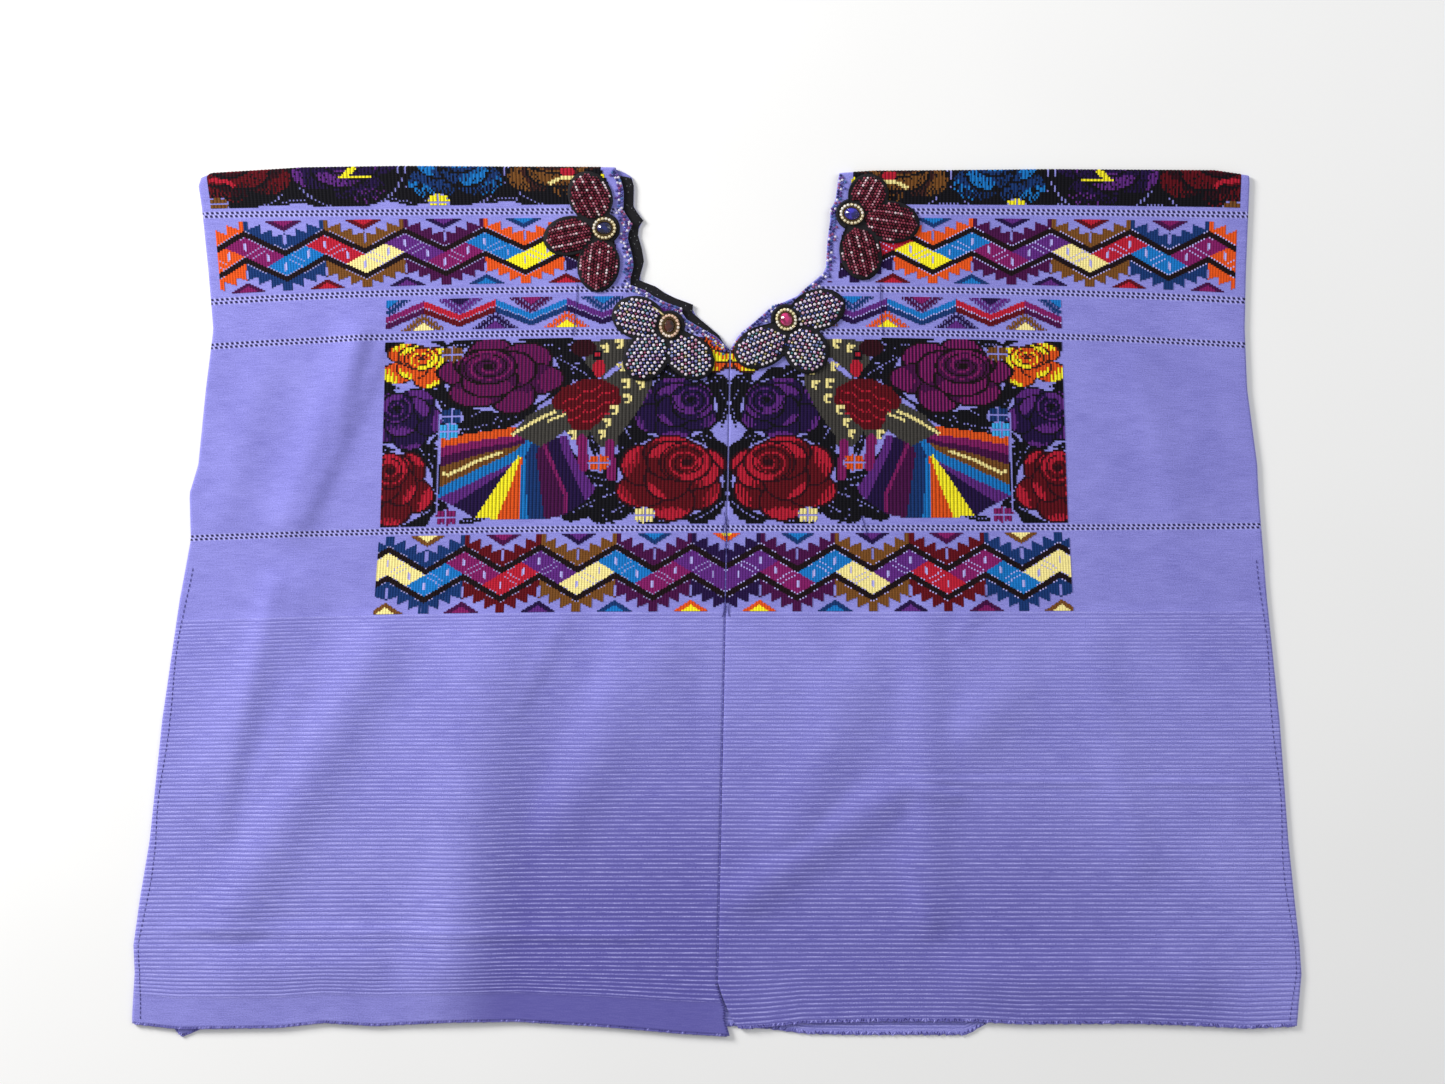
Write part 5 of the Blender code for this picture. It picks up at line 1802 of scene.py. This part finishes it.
def add_hem(length, back, draw, finish):
    """A rolled hem with whip stitches; the right length's is rougher and looped."""
    waver, step, most, half_length, lean = HEMS[length.side]
    bottom = length.back_end if back else length.front_bottom
    share = np.linspace(*EDGE_COLUMNS, HEM_STEPS)
    path = length.place(np.full(HEM_STEPS, bottom), across=share, lift=HEM_LIFT)
    path[:, 2] = np.maximum(path[:, 2], HEM_RADIUS)
    run = run_of(path)
    path[:, 1] += waver * np.sin(run * 0.9) * np.cos(run * 0.23)
    at = np.arange(1.5, run[-1] - 1.0, step)
    count = len(at)
    at = at + draw.uniform(-0.35, 0.35, count)
    seats = np.column_stack([np.interp(at, run, path[:, i]) for i in range(3)])
    seats += np.column_stack([np.zeros(count), draw.uniform(0.1, most, count), np.full(count, 0.55)])
    leans = draw.uniform(-HEM_LEAN, HEM_LEAN, count) if lean is None else np.full(count, lean)
    ways = np.column_stack([leans, np.ones(count), np.zeros(count)])
    shades = np.array([THREAD_DARK, THREAD_DEEP, THREAD_LIGHT])
    shades = shades[draw.choice(3, count, p=(0.35, 0.4, 0.25))]
    name = f"{'back' if back else 'front'}_hem_"
    size = (half_length, 0.42, 0.4)
    return [
        add_threads(f"{name}{length.name}", [path], HEM_RADIUS, [HEM_ROLL], finish),
        add_stitches(f"{name}stitches_{length.name}", seats, ways, size, shades, finish),
    ]


# Loose threads on the front: start, end, sideways bow, lift; and the line in the centre seam
THREAD_LINES = (
    ((6.2, 71.0), (7.6, 38.0), 1.6, 0.75),
    ((8.6, 66.0), (6.6, 50.0), -1.8, 0.85),
    ((6.9, 4.0), (4.8, -12.5), 1.2, 0.55),
    ((10.6, -1.0), (10.0, -12.0), -0.8, 0.55),
    ((-111.0, 253.0), (-114.5, 212.0), 0.8, 0.62),
    ((131.0, 253.0), (133.5, 212.0), -0.8, 0.62),
    ((115.6, 68.0), (120.4, 52.0), 0.4, 0.62),
)
JOIN_DEPTH = 0.27
JOIN_RADIUS = 0.40


def lying(start, end, bow, lift):
    """A thread's path on the front of the cloth, bowed to one side between its ends."""
    t = np.linspace(0.0, 1.0, 16)
    way = np.subtract(end, start)
    side = np.array([-way[1], way[0]]) / np.hypot(*way)
    flat = np.asarray(start) + way * t[:, None] + side * (bow * np.sin(np.pi * t))[:, None]
    return np.column_stack([flat, front_top(flat[:, 0], flat[:, 1], 0.0) + lift])


def add_seam_stitches(draw, finish):
    """Small stitches over the centre seam and down both side seams, and the seam's thread ends."""
    y = np.arange(-302.0, 50.0, 3.1)
    x = read_table(CENTRE_SEAM, y)
    top = front_top(x, y, 0.0) + 0.02
    centres = np.column_stack([x, y, top])
    shades = np.array([THREAD_DEEP, THREAD_LIGHT])[(np.arange(len(y)) % 2)]
    line = np.column_stack([x, y, top - JOIN_DEPTH])
    ways = crossing(draw, 0.35, len(y))
    made = [
        add_threads("centre_join", [line], JOIN_RADIUS, [THREAD_DEEP], finish),
        add_stitches("centre_stitches", centres, ways, CENTRE_STITCH, shades, finish),
    ]
    for length in LENGTHS:
        v = np.arange(length.front_bottom + 6.0, 34.0, 4.2)
        inset = 1.0 - 0.011 - 0.003 * np.sin(v * 0.05)
        seats, ahead = (length.place(at, across=inset, lift=0.35) for at in (v, v + 1.0))
        name = f"side_stitches_{length.name}"
        made.append(add_stitches(name, seats, ahead - seats, SIDE_STITCH, THREAD_DARK, finish))
    v = np.arange(-306.0, LENGTHS[0].front_bottom + 2.0, -2.1)
    seats = LENGTHS[0].place(v, across=0.0022, lift=0.2)
    ways = crossing(draw, 0.6, len(v))
    made.append(add_stitches("vent_stitches", seats, ways, VENT_STITCH, THREAD_DARK, finish))
    ends = [lying(*line) for line in THREAD_LINES]
    made.append(add_threads("thread_ends", ends, 0.26, [THREAD_DARK] * len(ends), finish))
    cream = lying((-70.0, 238.0), (-42.0, 228.0), 3.4, 1.6)
    made.append(add_threads("cream_thread", [cream], 0.8, [CREAM], finish))
    return made


# The blouse
LENGTHS = (Length(-1), Length(1))
draw = np.random.default_rng(7)
lavender = lavender_finish()
black = black_finish()
glass = bead_finish()
gilt = gilt_finish()
lengths = [add_length(length, lavender) for length in LENGTHS]

# The glass of the set stones, deep and bright; and the beads of the upper and the lower patches: step
# along a row, step between rows, radius, then their height, the small ones' radius and how many of
# every third row are lit
GLASS = {
    "upper_left": ((0.002, 0.003, 0.03), (0.01, 0.015, 0.13)),
    "upper_right": ((0.006, 0.005, 0.14), (0.04, 0.03, 0.50)),
    "lower_left": ((0.012, 0.002, 0.002), (0.07, 0.012, 0.008)),
    "lower_right": ((0.16, 0.003, 0.04), (0.55, 0.02, 0.16)),
}
UPPER_BEADS = (2.4, 2.2, 1.1)
LOWER_BEADS = (3.55, 2.05, 1.3)
BEAD_HEIGHT = 1.5
SMALL_BEAD = 0.9
LIT_SHARE = 0.85
for place, patch in PATCHES.items():
    upper = place.startswith("upper")
    add_patch(place, patch, black)
    size = STONES[place]
    steps = UPPER_BEADS if upper else LOWER_BEADS
    seats, rows = petal_beads(patch, draw, *steps, max(size[2], size[3]))
    count = len(seats)
    shades = pick(draw, BURGUNDY_BEADS if upper else PALE_BEADS, count)
    sizes = np.full(count, steps[2])
    if upper:
        lit = (rows % 3 == 0) & (draw.uniform(size=count) < LIT_SHARE)
        shades[lit] = pick(draw, LIT_BEADS, int(lit.sum()))
    else:
        small = rows % 2 == 1
        shades[small] = pick(draw, SMALL_BEADS, int(small.sum()))
        sizes[small] = SMALL_BEAD
    add_beads(f"beads_{place}", seats, sizes, BEAD_HEIGHT, shades, glass, "beaded_patch")
    add_ring(place, patch["stone"], size, gilt, glass, draw)
    stone_glass = glass_finish(f"{place}_glass", *GLASS[place])
    add_stone(place, patch["stone"], size, stone_glass)
add_facing(black, glass, draw)
for length in LENGTHS:
    add_neck_beads(length, glass, draw)

# The brocade of both lengths, front and back
yarn = thread_finish()
sewn_on = {-1: [], 1: []}
for length in LENGTHS:
    for band in BANDS:
        sewn_on[length.side].append(add_brocade(length, band, yarn, False))
        if band[0] != "shoulder":
            sewn_on[length.side].append(add_brocade(length, band, yarn, True))

# The sewing
for length in LENGTHS:
    sewn_on[length.side] += add_hem(length, False, draw, yarn) + add_hem(length, True, draw, yarn)
sewn_on[1] += add_seam_stitches(draw, yarn)

# The floor, the light and the camera
floor_mesh = bpy.data.meshes.new("floor")
floor_mesh.from_pydata([(-4, -4, 0), (4, -4, 0), (4, 4, 0), (-4, 4, 0)], [], [(0, 1, 2, 3)])
floor_mesh.materials.append(floor_finish())
floor = bpy.data.objects.new("floor", floor_mesh)
bpy.context.scene.collection.objects.link(floor)


def add_light(name, place, size, power, colour):
    """A square soft light at a place, turned to the middle of the blouse."""
    data = bpy.data.lights.new(name, "AREA")
    data.shape = "SQUARE"
    data.size = size
    data.energy = power
    data.color = colour
    light = bpy.data.objects.new(name, data)
    light.location = place
    light.rotation_euler = (-light.location).to_track_quat("-Z", "Y").to_euler()
    bpy.context.scene.collection.objects.link(light)


add_light("key_light", (-1.9, 1.3, 1.05), 0.8, 74.0, (1.0, 0.99, 0.97))
add_light("fill_light", (1.8, 0.9, 1.9), 1.6, 16.0, (0.96, 0.98, 1.0))
world = bpy.data.worlds.new("studio")
world.use_nodes = True
world.node_tree.nodes["Background"].inputs["Color"].default_value = (1.0, 1.0, 1.0, 1.0)
world.node_tree.nodes["Background"].inputs["Strength"].default_value = 0.40
bpy.context.scene.world = world
bpy.context.scene.view_settings.view_transform = "Standard"

camera_data = bpy.data.cameras.new("camera")
camera_data.sensor_width = 36.0
camera_data.lens = 49.8
camera = bpy.data.objects.new("camera", camera_data)
camera.location = (0.0048, 0.0472, 1.6)
bpy.context.scene.collection.objects.link(camera)
bpy.context.scene.camera = camera
